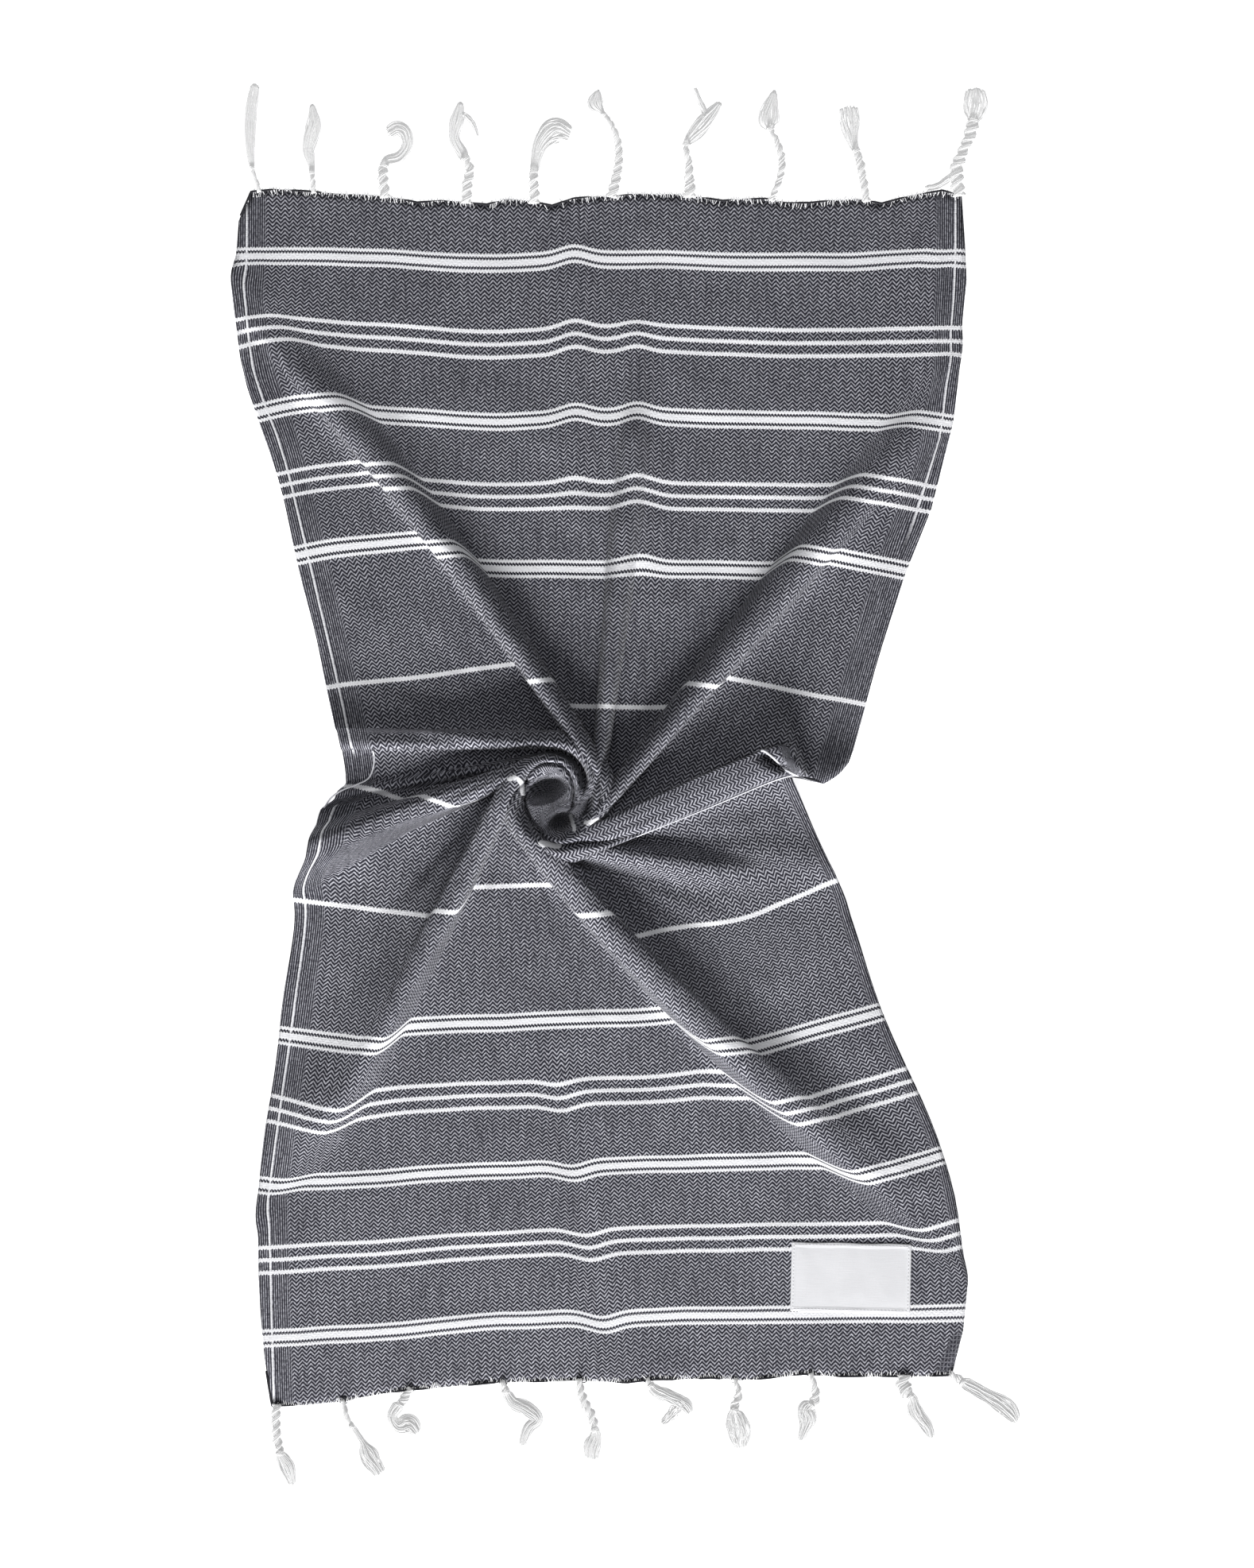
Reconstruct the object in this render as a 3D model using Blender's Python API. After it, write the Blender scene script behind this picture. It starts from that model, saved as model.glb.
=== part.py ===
"""Flat-woven striped hand towel laid flat, its middle pinched and turned into a spiral, with knotted tassels."""
import bmesh
import bpy
import numpy as np

# All sizes are in millimetres and are turned into metres by MM.
MM = 0.001
CLOTH_THICK = 1.5
HALF_WIDE = 255.0
HALF_LONG = 510.0
HUB = np.array((-51.0, -11.0))      # middle of the spiral on the table
FOLD_STEPS = 4                      # facets across one fold
RAY_RINGS = 15                      # rings of facets from the spiral out to the edge
HUB_RINGS = (0.22, 0.44, 0.64, 0.83)
HUB_TURN = 125.0                    # degrees that a fold winds on inside the spiral
RING_GROWTH = 1.55
SEARCH_REACH = 760.0
SEARCH_STEPS = 1521
NECK = 25.0                         # distance at which the folds have their "near" sizes
LABEL_SIZE = (83.0, 46.0, 1.0)
LABEL_PLACE = (156.0, -343.3)
LABEL_TURN = -1.2
SEAT_GAP = 0.3
CORD_SIDES = 1
TASSEL_SAMPLES = 9

# Flat areas of cloth between folds: a point of the flat towel, where it lies on the table,
# the turn of the crosswise and of the lengthwise yarns in degrees, and the lengthwise stretch.
PANELS = {
    "right": dict(flat=(243, -116), lies=(131.9, -28), weft=20, warp=25, stretch=1.0),
    "upper_right": dict(flat=(248, 400), lies=(230, 299.5), weft=-11, warp=-16.3, stretch=1.03),
    "top": dict(flat=(0, 356), lies=(-18, 257.5), weft=-0.4, warp=0, stretch=1.01),
    "upper_left": dict(flat=(-250, 432), lies=(-266, 333.5), weft=9.5, warp=13.2, stretch=1.0),
    "waist": dict(flat=(-250, 0), lies=(-190, -1.5), weft=-3, warp=8, stretch=1.0),
    "waist_low": dict(flat=(-208, 0), lies=(-160, -8.6), weft=-20, warp=-5, stretch=1.0),
    "lower_left": dict(flat=(-250, -325), lies=(-247.8, -247), weft=-7, warp=-7.8, stretch=1.0),
    "bottom": dict(flat=(0, -410), lies=(-2, -320.5), weft=2.2, warp=1.5, stretch=1.0),
    "lower_right": dict(flat=(240, -156), lies=(145.5, -63.5), weft=16, warp=18.5, stretch=1.035),
}

# Folds counterclockwise round the spiral. heading: degrees from +X. offset: how far the crest passes
# from the spiral's middle. bend, power: sideways drift of the crest by its reach. cw, ccw: width of the
# clockwise and counterclockwise side near the spiral, halfway and at the reach. high: height of the crest
# near the spiral, halfway and at the reach. fade: part of the reach where it starts to die out.
FOLDS = (
    dict(name="right_roll", after="upper_right", heading=23, offset=34, bend=-10, power=22,
         cw=(14, 13, 12), ccw=(12, 15, 16), high=(22, 18, 15), reach=172, fade=0.90),
    dict(name="upper_right_ridge", after="top", heading=50, offset=28, bend=0, power=2,
         cw=(8, 17, 18), ccw=(9, 22, 20), high=(21, 9, 3), reach=400, fade=0.7),
    dict(name="top_ridge", after="top", heading=84, offset=29, bend=0, power=2,
         cw=(8, 14, 18), ccw=(9, 14, 18), high=(19, 6, 2), reach=340, fade=0.7),
    dict(name="upper_left_ridge", after="upper_left", heading=124, offset=36, bend=24, power=3,
         cw=(12, 22, 20), ccw=(7, 11, 14), high=(22, 14, 5), reach=400, fade=0.75),
    dict(name="left_ridge", after="waist", heading=180, offset=42, bend=0, power=2,
         cw=(12, 20, 24), ccw=(6, 6, 6), high=(18, 12, 8), reach=150, fade=2),
    dict(name="waist_flap", after="waist_low", heading=190, offset=31, bend=0, power=2,
         cw=(6, 7, 8), ccw=(6, 6, 6), high=(16, 11, 8), reach=150, fade=2),
    dict(name="lower_waist_ridge", after="lower_left", heading=199, offset=27, bend=0, power=2,
         cw=(10, 14, 16), ccw=(14, 28, 40), high=(19, 12, 7), reach=180, fade=2),
    dict(name="lower_left_ridge", after="bottom", heading=242, offset=31, bend=-14, power=6,
         cw=(14, 22, 18), ccw=(6, 11, 12), high=(20, 11, 3), reach=300, fade=0.65),
    dict(name="lower_right_ridge", after="lower_right", heading=304, offset=27, bend=83, power=1.5,
         cw=(7, 16, 16), ccw=(14, 28, 24), high=(22, 14, 4), reach=396, fade=0.75),
    dict(name="right_low_ridge", after="right", heading=352, offset=29, bend=0, power=2,
         cw=(14, 18, 20), ccw=(14, 16, 18), high=(18, 9, 3), reach=190, fade=0.6),
)
# Facets across each flat area, in the same order as the folds before them.
PANEL_STEPS = (3, 4, 6, 4, 1, 1, 3, 8, 5, 2)

# Broad swells of the cloth: middle, heading, half length, half width and height.
SWELLS = (
    dict(name="beside_roll", x=74, y=36, heading=25, long=62, wide=24, high=9),
    dict(name="lower_left_flank", x=-205, y=-42, heading=200, long=40, wide=24, high=6),
    dict(name="right_flank", x=120, y=-52, heading=350, long=50, wide=22, high=5),
)

# Broad pulls of the cloth across the towel near its long edges: middle, half width, half length, distance.
PULLS = (
    dict(name="left_shoulder", x=-262, y=290, wide=40, long=42, across=-7.6),
    dict(name="left_hip", x=-213, y=-20, wide=26, long=17, across=-6.5),
    dict(name="left_flank", x=-222, y=-52, wide=34, long=24, across=-9.5),
    dict(name="right_edge", x=236, y=309, wide=32, long=30, across=-4.0),
    dict(name="right_shoulder", x=212, y=215, wide=40, long=44, across=8.0),
    dict(name="right_hip", x=214, y=-255, wide=48, long=66, across=9.5),
    dict(name="right_corner", x=238, y=-370, wide=40, long=36, across=6.0),
)

# The raw ends between the tassels: middle on the flat towel, half width, and how far they sag inwards
# (below zero: how far they reach out).
TOP_SAGS = ((-222, 32, -3.0), (-120, 30, 3.5), (-84, 14, 3.5), (-37, 14, 5.0), (38, 26, -2.2), (139, 20, 3.0),
            (234, 18, -5.5))
BOTTOM_SAGS = ((-230, 34, -5.0), (-162, 14, 1.5), (-8, 14, -3.5), (118, 14, 2.0), (190, 14, -3.0))

# Tassels from the edge outwards: root, two bends and tip. cord, knot, brush: half thicknesses.
TOP_TASSELS = (
    dict(root=-256.5, bend=(-263.7, 446), turn=(-262, 472), tip=(-259, 489.2), brush=4.2),
    dict(root=-218.8, bend=(-222, 447), turn=(-221.5, 462), tip=(-219, 476), brush=5.0),
    dict(root=-165.5, bend=(-167.0, 436), turn=(-155, 449), tip=(-162, 459), brush=6.6),
    dict(root=-113.0, bend=(-112, 432), turn=(-119.5, 452), tip=(-116, 477), brush=5.4),
    dict(root=-64.3, bend=(-63, 433), turn=(-54, 455), tip=(-38, 458), brush=7.6),
    dict(root=-13.9, bend=(-6.5, 438), turn=(-15.5, 463), tip=(-21, 484), brush=5.4),
    dict(root=44.3, bend=(41.5, 445), turn=(52, 458), tip=(66, 476), brush=5.6),
    dict(root=95.8, bend=(106.5, 437), turn=(97, 460), tip=(103, 485), brush=6.4),
    dict(root=165.6, bend=(160, 441), turn=(156, 456), tip=(154.5, 473), brush=5.6),
    dict(root=226.6, bend=(232, 436), turn=(240, 460), tip=(242, 485), brush=7.8),
)
BOTTOM_TASSELS = (
    dict(root=-243.7, bend=(-243.5, -452), turn=(-239, -472), tip=(-235, -489), brush=5.2),
    dict(root=-198.9, bend=(-184, -457), turn=(-176, -472), tip=(-171, -483), brush=6.0),
    dict(root=-155.7, bend=(-163, -438), turn=(-156, -450), tip=(-144, -454), brush=5.6),
    dict(root=-87.0, bend=(-76, -434), turn=(-62, -444), tip=(-73, -461), brush=5.0),
    dict(root=-33.2, bend=(-24, -441), turn=(-21.5, -455), tip=(-25, -470), brush=5.6),
    dict(root=13.9, bend=(31, -427), turn=(38, -431), tip=(44, -438), brush=4.6),
    dict(root=77.6, bend=(74, -436), turn=(76, -447), tip=(80, -462), brush=7.4),
    dict(root=130.7, bend=(124.7, -434), turn=(129, -445), tip=(125, -456), brush=5.4),
    dict(root=192.2, bend=(200.5, -433), turn=(207, -444), tip=(211.6, -455), brush=6.0),
    dict(root=223.5, bend=(244, -423), turn=(260, -432), tip=(272.7, -441), brush=6.2),
)
CORD_HALF = 2.7
KNOT_HALF = 4.4
TIP_HALF = 2.2

# name of the material: colour, roughness
FINISHES = {
    "towel_cloth": ((0.115, 0.115, 0.135, 1.0), 0.92),
    "tassel_cotton": ((0.82, 0.82, 0.80, 1.0), 0.9),
    "label_tape": ((0.85, 0.85, 0.86, 1.0), 0.8),
}


def eased(x):
    x = np.clip(x, 0.0, 1.0)
    return x * x * (3.0 - 2.0 * x)


def compass(degrees):
    """Outward and counterclockwise unit vectors of a heading."""
    a = np.radians(degrees)
    return np.array((np.cos(a), np.sin(a))), np.array((-np.sin(a), np.cos(a)))


def three_point(sizes, fold, along):
    """A size that goes from its near value to its halfway value to its value at the fold's reach."""
    middle = (NECK + fold["reach"]) / 2.0
    return np.interp(along, (NECK, middle, fold["reach"]), sizes)


def crest_line(fold, along):
    """Sideways place of a crest, measured counterclockwise from the line through the spiral's middle."""
    t = along / fold["reach"]
    past = 1.0 + fold["power"] * (t - 1.0)
    return fold["bend"] * np.where(t <= 1.0, np.abs(t) ** fold["power"], past) - fold["offset"]


def crest_height(fold, along):
    alive = 1.0 - eased((along / fold["reach"] - fold["fade"]) / 0.3)
    return three_point(fold["high"], fold, along) * alive


def panel_axes(panel):
    weft, warp = np.radians(panel["weft"]), np.radians(panel["warp"])
    across = (np.cos(weft), np.sin(weft))
    along = (-np.sin(warp) * panel["stretch"], np.cos(warp) * panel["stretch"])
    return np.array((across, along)).T


def flat_point(panel_name, place):
    """The point of the flat towel that lies at a place on the table, in one flat area."""
    panel = PANELS[panel_name]
    back = np.linalg.inv(panel_axes(panel))
    return np.array(panel["flat"]) + (place - np.array(panel["lies"])) @ back.T


def lying_point(panel_name, flat):
    panel = PANELS[panel_name]
    return np.array(panel["lies"]) + (flat - np.array(panel["flat"])) @ panel_axes(panel).T


def right_limit(v):
    """The right edge of the flat towel; below the middle a strip of it is turned under."""
    turned = 14.0 * eased(-v / 80.0) + 14.0 * eased((-v - 380.0) / 130.0)
    rounded = 15.0 * np.clip((120.0 - v) / 24.0, 0.0, 1.0) ** 2 * eased((v + 20.0) / 60.0)
    return HALF_WIDE - turned - rounded - 3.0 * eased((v - 440.0) / 70.0)


def left_limit(v):
    """The left edge of the flat towel, rounded at its two corners."""
    drawn = 8.0 * eased((v - 485.0) / 25.0) + 5.5 * eased((-v - 455.0) / 55.0)
    return drawn - HALF_WIDE


def end_limit(u, v):
    """How far from the middle the towel reaches at its raw ends."""
    limit = HALF_LONG - 2.0 + 0.0 * u
    for sign, rows in ((1.0, TOP_SAGS), (-1.0, BOTTOM_SAGS)):
        for middle, wide, deep in rows:
            limit = limit - deep * np.exp(-((u - middle) / wide) ** 2) * (np.sign(v) == sign)
    return limit


def inside(flat):
    u, v = flat[..., 0], flat[..., 1]
    return (u > left_limit(v)) & (u < right_limit(v)) & (np.abs(v) < end_limit(u, v))


def pulled(place, flat):
    """The flat point again, after the pulls near the long edges."""
    moved = flat.copy()
    for pull in PULLS:
        gone = ((place[..., 0] - pull["x"]) / pull["wide"]) ** 2
        gone = gone + ((place[..., 1] - pull["y"]) / pull["long"]) ** 2
        moved[..., 0] = moved[..., 0] - np.exp(-gone) * pull["across"]
    return moved


def fold_share(side):
    """Part of the hidden cloth used up at a place across a fold: none, half on the crest, all."""
    a = abs(side)
    if side < 0:
        return 0.5 * eased((1.0 - a) / 0.6)
    return 0.5 + 0.5 * eased((a - 0.4) / 0.6)


def fold_ray(index, side, along):
    """Places, heights and flat points along a fold, at one place across it from -1 to 1."""
    fold = FOLDS[index]
    out, left = compass(fold["heading"])
    width = three_point(fold["cw"] if side < 0 else fold["ccw"], fold, along)
    drift = crest_line(fold, along) + side * width
    place = HUB + along[:, None] * out + drift[:, None] * left
    share = fold_share(side)
    flat = (1.0 - share) * flat_point(FOLDS[index - 1]["after"], place)
    flat = pulled(place, flat + share * flat_point(fold["after"], place))
    high = crest_height(fold, along) * (0.5 + 0.5 * np.cos(np.pi * side))
    return dict(place=place, high=high, flat=flat, heading=fold["heading"], drift=drift)


def panel_ray(index, part, along):
    """The same along a flat area, at a part of the way to the next fold."""
    fold = FOLDS[index]
    following = FOLDS[(index + 1) % len(FOLDS)]
    gap = (following["heading"] - fold["heading"]) % 360
    heading = fold["heading"] + gap * part
    out, left = compass(heading)
    start = crest_line(fold, along) + three_point(fold["ccw"], fold, along)
    end = crest_line(following, along) - three_point(following["cw"], following, along)
    drift = (1.0 - part) * start + part * end
    place = HUB + along[:, None] * out + drift[:, None] * left
    flat = pulled(place, flat_point(fold["after"], place))
    return dict(place=place, high=np.zeros_like(along), flat=flat, heading=heading, drift=drift)


def corner_parts(index):
    """Parts across a flat area where a ray meets a corner of the towel."""
    along = np.linspace(0.0, SEARCH_REACH, SEARCH_STEPS)
    found = []
    for v in (HALF_LONG, -HALF_LONG):
        for u in (float(left_limit(np.array(v))), float(right_limit(np.array(v)))):
            end = np.sign(v) * float(end_limit(np.array(u), np.array(v)))
            corner = lying_point(FOLDS[index]["after"], np.array((u, end)))
            parts = np.linspace(0.02, 0.98, 97)
            misses = []
            for part in parts:
                ray = panel_ray(index, part, along)
                misses.append(np.linalg.norm(ray["place"] - corner, axis=1).min())
            if min(misses) < 4.0:
                found.append(float(parts[int(np.argmin(misses))]))
    return found


def panel_parts(index):
    steps = PANEL_STEPS[index]
    parts = [k / steps for k in range(1, steps)]
    for part in corner_parts(index) if steps > 3 else ():
        nearest = int(np.argmin([abs(p - part) for p in parts]))
        parts[nearest] = part
    return sorted(parts)


def edge_distance(ray, along):
    """Distance along a ray at which the towel ends."""
    beyond = ~inside(ray["flat"]) & (along > NECK)
    return along[int(np.argmax(beyond))]


def base_height(place):
    """Broad swells, and the lift towards the spiral."""
    away = place - HUB
    radius = np.linalg.norm(away, axis=-1)
    high = 9.0 * (1.0 - eased((radius - 24.0) / 44.0))
    for swell in SWELLS:
        out, left = compass(swell["heading"])
        gone = place - np.array((swell["x"], swell["y"]))
        far = (gone @ out / swell["long"]) ** 2 + (gone @ left / swell["wide"]) ** 2
        high = high + swell["high"] * np.exp(-far)
    return high


def spiral_height(place):
    """Two rolled arms that meet in an S between two hollows."""
    away = place - HUB
    radius = np.linalg.norm(away, axis=-1)
    angle = np.arctan2(away[..., 1], away[..., 0])
    arm = np.radians(40.0 + 6.0 * (radius - 12.0))
    depth = 9.0 * eased(radius / 9.0) - 4.0 * eased((radius - 14.0) / 10.0)
    middle = 21.0 + 3.0 * (1.0 - eased(radius / 8.0))
    return middle + depth * np.cos(2.0 * (angle - arm))


def surface_height(place, folds_high):
    radius = np.linalg.norm(place - HUB, axis=-1)
    inner = 1.0 - eased((radius - 18.0) / 14.0)
    outer = np.maximum(folds_high, 0.0) + base_height(place)
    return inner * spiral_height(place) + (1.0 - inner) * outer


def hub_places(ray):
    """Places of the rings inside the spiral, where a fold winds on clockwise to the middle."""
    start = ray["place"][0] - HUB
    radius = np.linalg.norm(start)
    angle = np.arctan2(start[1], start[0])
    places = []
    for part in HUB_RINGS:
        turned = angle - np.radians(HUB_TURN) * part
        shrunk = radius * np.cos(part * np.pi / 2.0)
        places.append(HUB + shrunk * np.array((np.cos(turned), np.sin(turned))))
    return np.array(places)


def ray_columns():
    """Every ray of the towel, counterclockwise: places and heights from the spiral to the edge."""
    search = np.linspace(0.0, SEARCH_REACH, SEARCH_STEPS)
    makers = []
    for index in range(len(FOLDS)):
        for k in range(FOLD_STEPS + 1):
            makers.append((fold_ray, index, -1.0 + 2.0 * k / FOLD_STEPS))
        for part in panel_parts(index):
            makers.append((panel_ray, index, part))
    columns = []
    for maker, index, where in makers:
        end = edge_distance(maker(index, where, search), search)
        along = end * np.linspace(0.0, 1.0, RAY_RINGS + 1) ** RING_GROWTH
        ray = maker(index, where, along)
        inner = hub_places(ray)
        place = np.vstack((inner[::-1], ray["place"]))
        high = np.concatenate((np.full(len(inner), ray["high"][0]), ray["high"]))
        columns.append(np.column_stack((place, surface_height(place, high))))
    return np.array(columns)


def cloth_layers():
    """Underside and upper side of the towel; the upper side stands off steep walls by the same thickness."""
    under = ray_columns()
    under[:, :, 2] -= under[:, :, 2].min()
    round_slope = np.gradient(under[:, :, 2], axis=1)
    round_run = np.linalg.norm(np.gradient(under[:, :, :2], axis=1), axis=2)
    slope = np.minimum(np.abs(round_slope) / np.maximum(round_run, 0.5), 1.2)
    upper = under.copy()
    upper[:, :, 2] += CLOTH_THICK * np.sqrt(1.0 + slope ** 2)
    return under, upper


def grid_faces(first, rays, rings, upward):
    faces = []
    for j in range(rays):
        for i in range(rings - 1):
            a = first + j * rings + i
            b = first + ((j + 1) % rays) * rings + i
            face = (a, a + 1, b + 1, b)
            faces.append(face if upward else face[::-1])
    return faces


def add_mesh(name, vertices, faces, finish):
    mesh = bpy.data.meshes.new(name)
    mesh.from_pydata([tuple(float(c) * MM for c in v) for v in vertices], [], faces)
    mesh.materials.append(finish)
    made = bpy.data.objects.new(name, mesh)
    collection.objects.link(made)
    work = bmesh.new()
    work.from_mesh(mesh)
    bmesh.ops.triangulate(work, faces=work.faces)
    bmesh.ops.recalc_face_normals(work, faces=work.faces)
    work.to_mesh(mesh)
    work.free()
    return made


def make_towel(finish):
    under, upper = cloth_layers()
    rays, rings = under.shape[:2]
    vertices = np.vstack((under.reshape(-1, 3), upper.reshape(-1, 3)))
    count = rays * rings
    centre_high = float(surface_height(HUB[None, :], np.zeros(1))[0])
    tips = np.array(((*HUB, centre_high), (*HUB, centre_high + CLOTH_THICK)))
    vertices = np.vstack((vertices, tips))
    faces = grid_faces(0, rays, rings, False) + grid_faces(count, rays, rings, True)
    for j in range(rays):
        a, b = j * rings, ((j + 1) % rays) * rings
        faces.append((2 * count, b, a))
        faces.append((2 * count + 1, count + a, count + b))
        a, b = a + rings - 1, b + rings - 1
        faces.append((a, b, count + b, count + a))
    return add_mesh("towel", vertices, faces, finish), under


def edge_height_at(under, x, top):
    """Y of the towel's end edge at an X."""
    ends = under[:, -1, :2]
    rows = ends[ends[:, 1] > 380] if top else ends[ends[:, 1] < -380]
    rows = rows[np.argsort(rows[:, 0])]
    return float(np.interp(x, rows[:, 0], rows[:, 1]))


def curve_through(points, count):
    """Even samples of a smooth curve through a few points."""
    padded = np.vstack((2 * points[0] - points[1], points, 2 * points[-1] - points[-2]))
    samples = []
    for t in np.linspace(0.0, len(points) - 1.0, count):
        k = min(int(t), len(points) - 2)
        f = t - k
        a, b, c, d = padded[k:k + 4]
        samples.append(0.5 * (2 * b + (c - a) * f + (2 * a - 5 * b + 4 * c - d) * f * f
                              + (3 * b - a - 3 * c + d) * f ** 3))
    return np.array(samples)


def make_tassel(name, row, top, under, finish):
    outward = 1.0 if top else -1.0
    widths = row["root"] + np.array((-CORD_HALF, 0.0, CORD_HALF))
    edge = outward * max(outward * edge_height_at(under, x, top) for x in widths)
    lean = np.array(row["bend"]) - np.array((row["root"], edge))
    tilt = abs(lean[0]) / np.linalg.norm(lean)
    root = np.array((row["root"], edge + outward * (SEAT_GAP + CORD_HALF * tilt)))
    path = curve_through(np.array((root, row["bend"], row["turn"], row["tip"])), TASSEL_SAMPLES)
    part = np.linspace(0.0, 1.0, TASSEL_SAMPLES)
    brush = row["brush"]
    halves = np.interp(part, (0, 0.38, 0.5, 0.62, 0.85, 1),
                       (CORD_HALF, CORD_HALF, KNOT_HALF, 0.7 * brush, brush, TIP_HALF))
    curve = bpy.data.curves.new(name, "CURVE")
    curve.dimensions = "3D"
    curve.bevel_depth = MM
    curve.bevel_resolution = CORD_SIDES
    curve.use_fill_caps = True
    spline = curve.splines.new("POLY")
    spline.points.add(TASSEL_SAMPLES - 1)
    for point, place, half in zip(spline.points, path, halves):
        point.co = (place[0] * MM, place[1] * MM, half * MM, 1.0)
        point.radius = float(half)
    curve.materials.append(finish)
    collection.objects.link(bpy.data.objects.new(name, curve))


def make_label(finish):
    """A sewn tape label lying on the flat cloth near the lower right corner."""
    out, left = compass(LABEL_TURN)
    half = np.array(LABEL_SIZE[:2]) / 2.0
    low = CLOTH_THICK + SEAT_GAP
    vertices = []
    for z in (low, low + LABEL_SIZE[2]):
        for sx, sy in ((-1, -1), (1, -1), (1, 1), (-1, 1)):
            corner = np.array(LABEL_PLACE) + sx * half[0] * out + sy * half[1] * left
            vertices.append((*corner, z))
    faces = [(3, 2, 1, 0), (4, 5, 6, 7)]
    for k in range(4):
        n = (k + 1) % 4
        faces.append((k, n, n + 4, k + 4))
    add_mesh("label", vertices, faces, finish)


def make_finish(name):
    colour, roughness = FINISHES[name]
    finish = bpy.data.materials.new(name)
    finish.use_nodes = True
    shader = finish.node_tree.nodes["Principled BSDF"]
    shader.inputs["Base Color"].default_value = colour
    shader.inputs["Roughness"].default_value = roughness
    shader.inputs["Metallic"].default_value = 0.0
    finish.diffuse_color = colour
    return finish


for old in list(bpy.data.objects):
    bpy.data.objects.remove(old)
collection = bpy.data.collections.new("hand_towel")
bpy.context.scene.collection.children.link(collection)
finishes = {name: make_finish(name) for name in FINISHES}
towel, underside = make_towel(finishes["towel_cloth"])
for number, tassel in enumerate(TOP_TASSELS, 1):
    make_tassel("tassel_top_%02d" % number, tassel, True, underside, finishes["tassel_cotton"])
for number, tassel in enumerate(BOTTOM_TASSELS, 1):
    make_tassel("tassel_bottom_%02d" % number, tassel, False, underside, finishes["tassel_cotton"])
make_label(finishes["label_tape"])
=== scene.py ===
import bpy
import numpy as np
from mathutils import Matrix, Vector


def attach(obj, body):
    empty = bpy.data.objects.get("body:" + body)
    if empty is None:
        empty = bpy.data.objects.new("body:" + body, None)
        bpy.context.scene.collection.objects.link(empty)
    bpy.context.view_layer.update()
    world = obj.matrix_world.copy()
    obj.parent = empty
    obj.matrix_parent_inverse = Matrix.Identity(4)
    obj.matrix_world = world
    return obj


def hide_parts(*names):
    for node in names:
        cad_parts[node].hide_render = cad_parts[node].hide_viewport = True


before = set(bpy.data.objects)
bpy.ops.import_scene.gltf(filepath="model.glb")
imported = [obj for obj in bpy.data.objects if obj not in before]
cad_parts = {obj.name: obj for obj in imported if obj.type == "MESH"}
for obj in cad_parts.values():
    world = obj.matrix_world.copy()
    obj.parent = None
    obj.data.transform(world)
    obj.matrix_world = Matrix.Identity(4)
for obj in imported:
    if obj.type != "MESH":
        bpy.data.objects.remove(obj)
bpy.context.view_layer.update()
mm = 0.001  # shapes are worked out in millimetres and made metres when a mesh is filled


# metres and millimetres of sensor; frameLong is the long side of what is seen at the table
view = dict(height=2.2, frameLong=1.0937, sensor=36.0, centreY=0.0017)

camera = bpy.data.cameras.new("camera")
camera.sensor_fit = "AUTO"
camera.sensor_width = view["sensor"]
camera.lens = view["sensor"] * view["height"] / view["frameLong"]
cameraObject = bpy.data.objects.new("camera", camera)
cameraObject.location = (0.0, view["centreY"], view["height"])
bpy.context.scene.collection.objects.link(cameraObject)
bpy.context.scene.camera = cameraObject
bpy.context.scene.view_settings.view_transform = "Standard"

lights = [
    dict(name="key", size=1.75, power=545.0, place=(-0.22, -4.6, 1.83)),
    dict(name="fill", size=3.0, power=9.0, place=(-0.8, 1.2, 3.4)),
]


def addLight(row):
    # a square lamp that faces the towel's middle
    lamp = bpy.data.lights.new(row["name"], "AREA")
    lamp.size = row["size"]
    lamp.energy = row["power"]
    lampObject = bpy.data.objects.new(row["name"], lamp)
    lampObject.location = row["place"]
    lampObject.rotation_euler = (-Vector(row["place"])).to_track_quat("-Z", "Y").to_euler()
    bpy.context.scene.collection.objects.link(lampObject)


for row in lights:
    addLight(row)

studio = dict(colour=(0.97, 0.98, 1.0, 1.0), strength=0.27)
world = bpy.data.worlds.new("studio")
world.use_nodes = True
background = world.node_tree.nodes["Background"].inputs
background["Color"].default_value = studio["colour"]
background["Strength"].default_value = studio["strength"]
bpy.context.scene.world = world
print("studio done")


def eased(x):
    # 0 below 0, 1 above 1, and a smooth step between: three squares less two cubes
    x = np.clip(x, 0.0, 1.0)
    return x * x * (3.0 - 2.0 * x)


def rowsOf(names, *rows):
    # dictionaries from a line of names and rows of values
    return [dict(zip(names.split(), row)) for row in rows]


def compass(degrees):
    # outward and counterclockwise unit vectors of a heading
    a = np.radians(degrees)
    return np.stack((np.cos(a), np.sin(a)), -1), np.stack((-np.sin(a), np.cos(a)), -1)


def gridFaces(rows, columns, wrap, first=0):
    # quads between neighbours of a rows by columns grid, wrapped round the rows where asked
    j, i = np.meshgrid(np.arange(rows if wrap else rows - 1), np.arange(columns - 1), indexing="ij")
    a = j * columns + i
    b = ((j + 1) % rows) * columns + i
    return first + np.stack((a, a + 1, b + 1, b), -1).reshape(-1, 4)


def fillMesh(name, points, faces, smooth=True):
    # points in millimetres, faces as a list of index arrays that may be triangles or quads
    mesh = bpy.data.meshes.new(name)
    sizes = np.concatenate([np.full(len(f), f.shape[1]) for f in faces])
    corners = np.concatenate([f.ravel() for f in faces])
    mesh.vertices.add(len(points))
    mesh.vertices.foreach_set("co", (points * mm).astype(np.float32).ravel())
    mesh.loops.add(len(corners))
    mesh.loops.foreach_set("vertex_index", corners.astype(np.int32))
    mesh.polygons.add(len(sizes))
    mesh.polygons.foreach_set("loop_start", (np.cumsum(sizes) - sizes).astype(np.int32))
    mesh.update(calc_edges=True)
    mesh.validate()
    mesh.polygons.foreach_set("use_smooth", np.full(len(sizes), smooth))
    piece = bpy.data.objects.new(name, mesh)
    bpy.context.scene.collection.objects.link(piece)
    return piece


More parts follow.
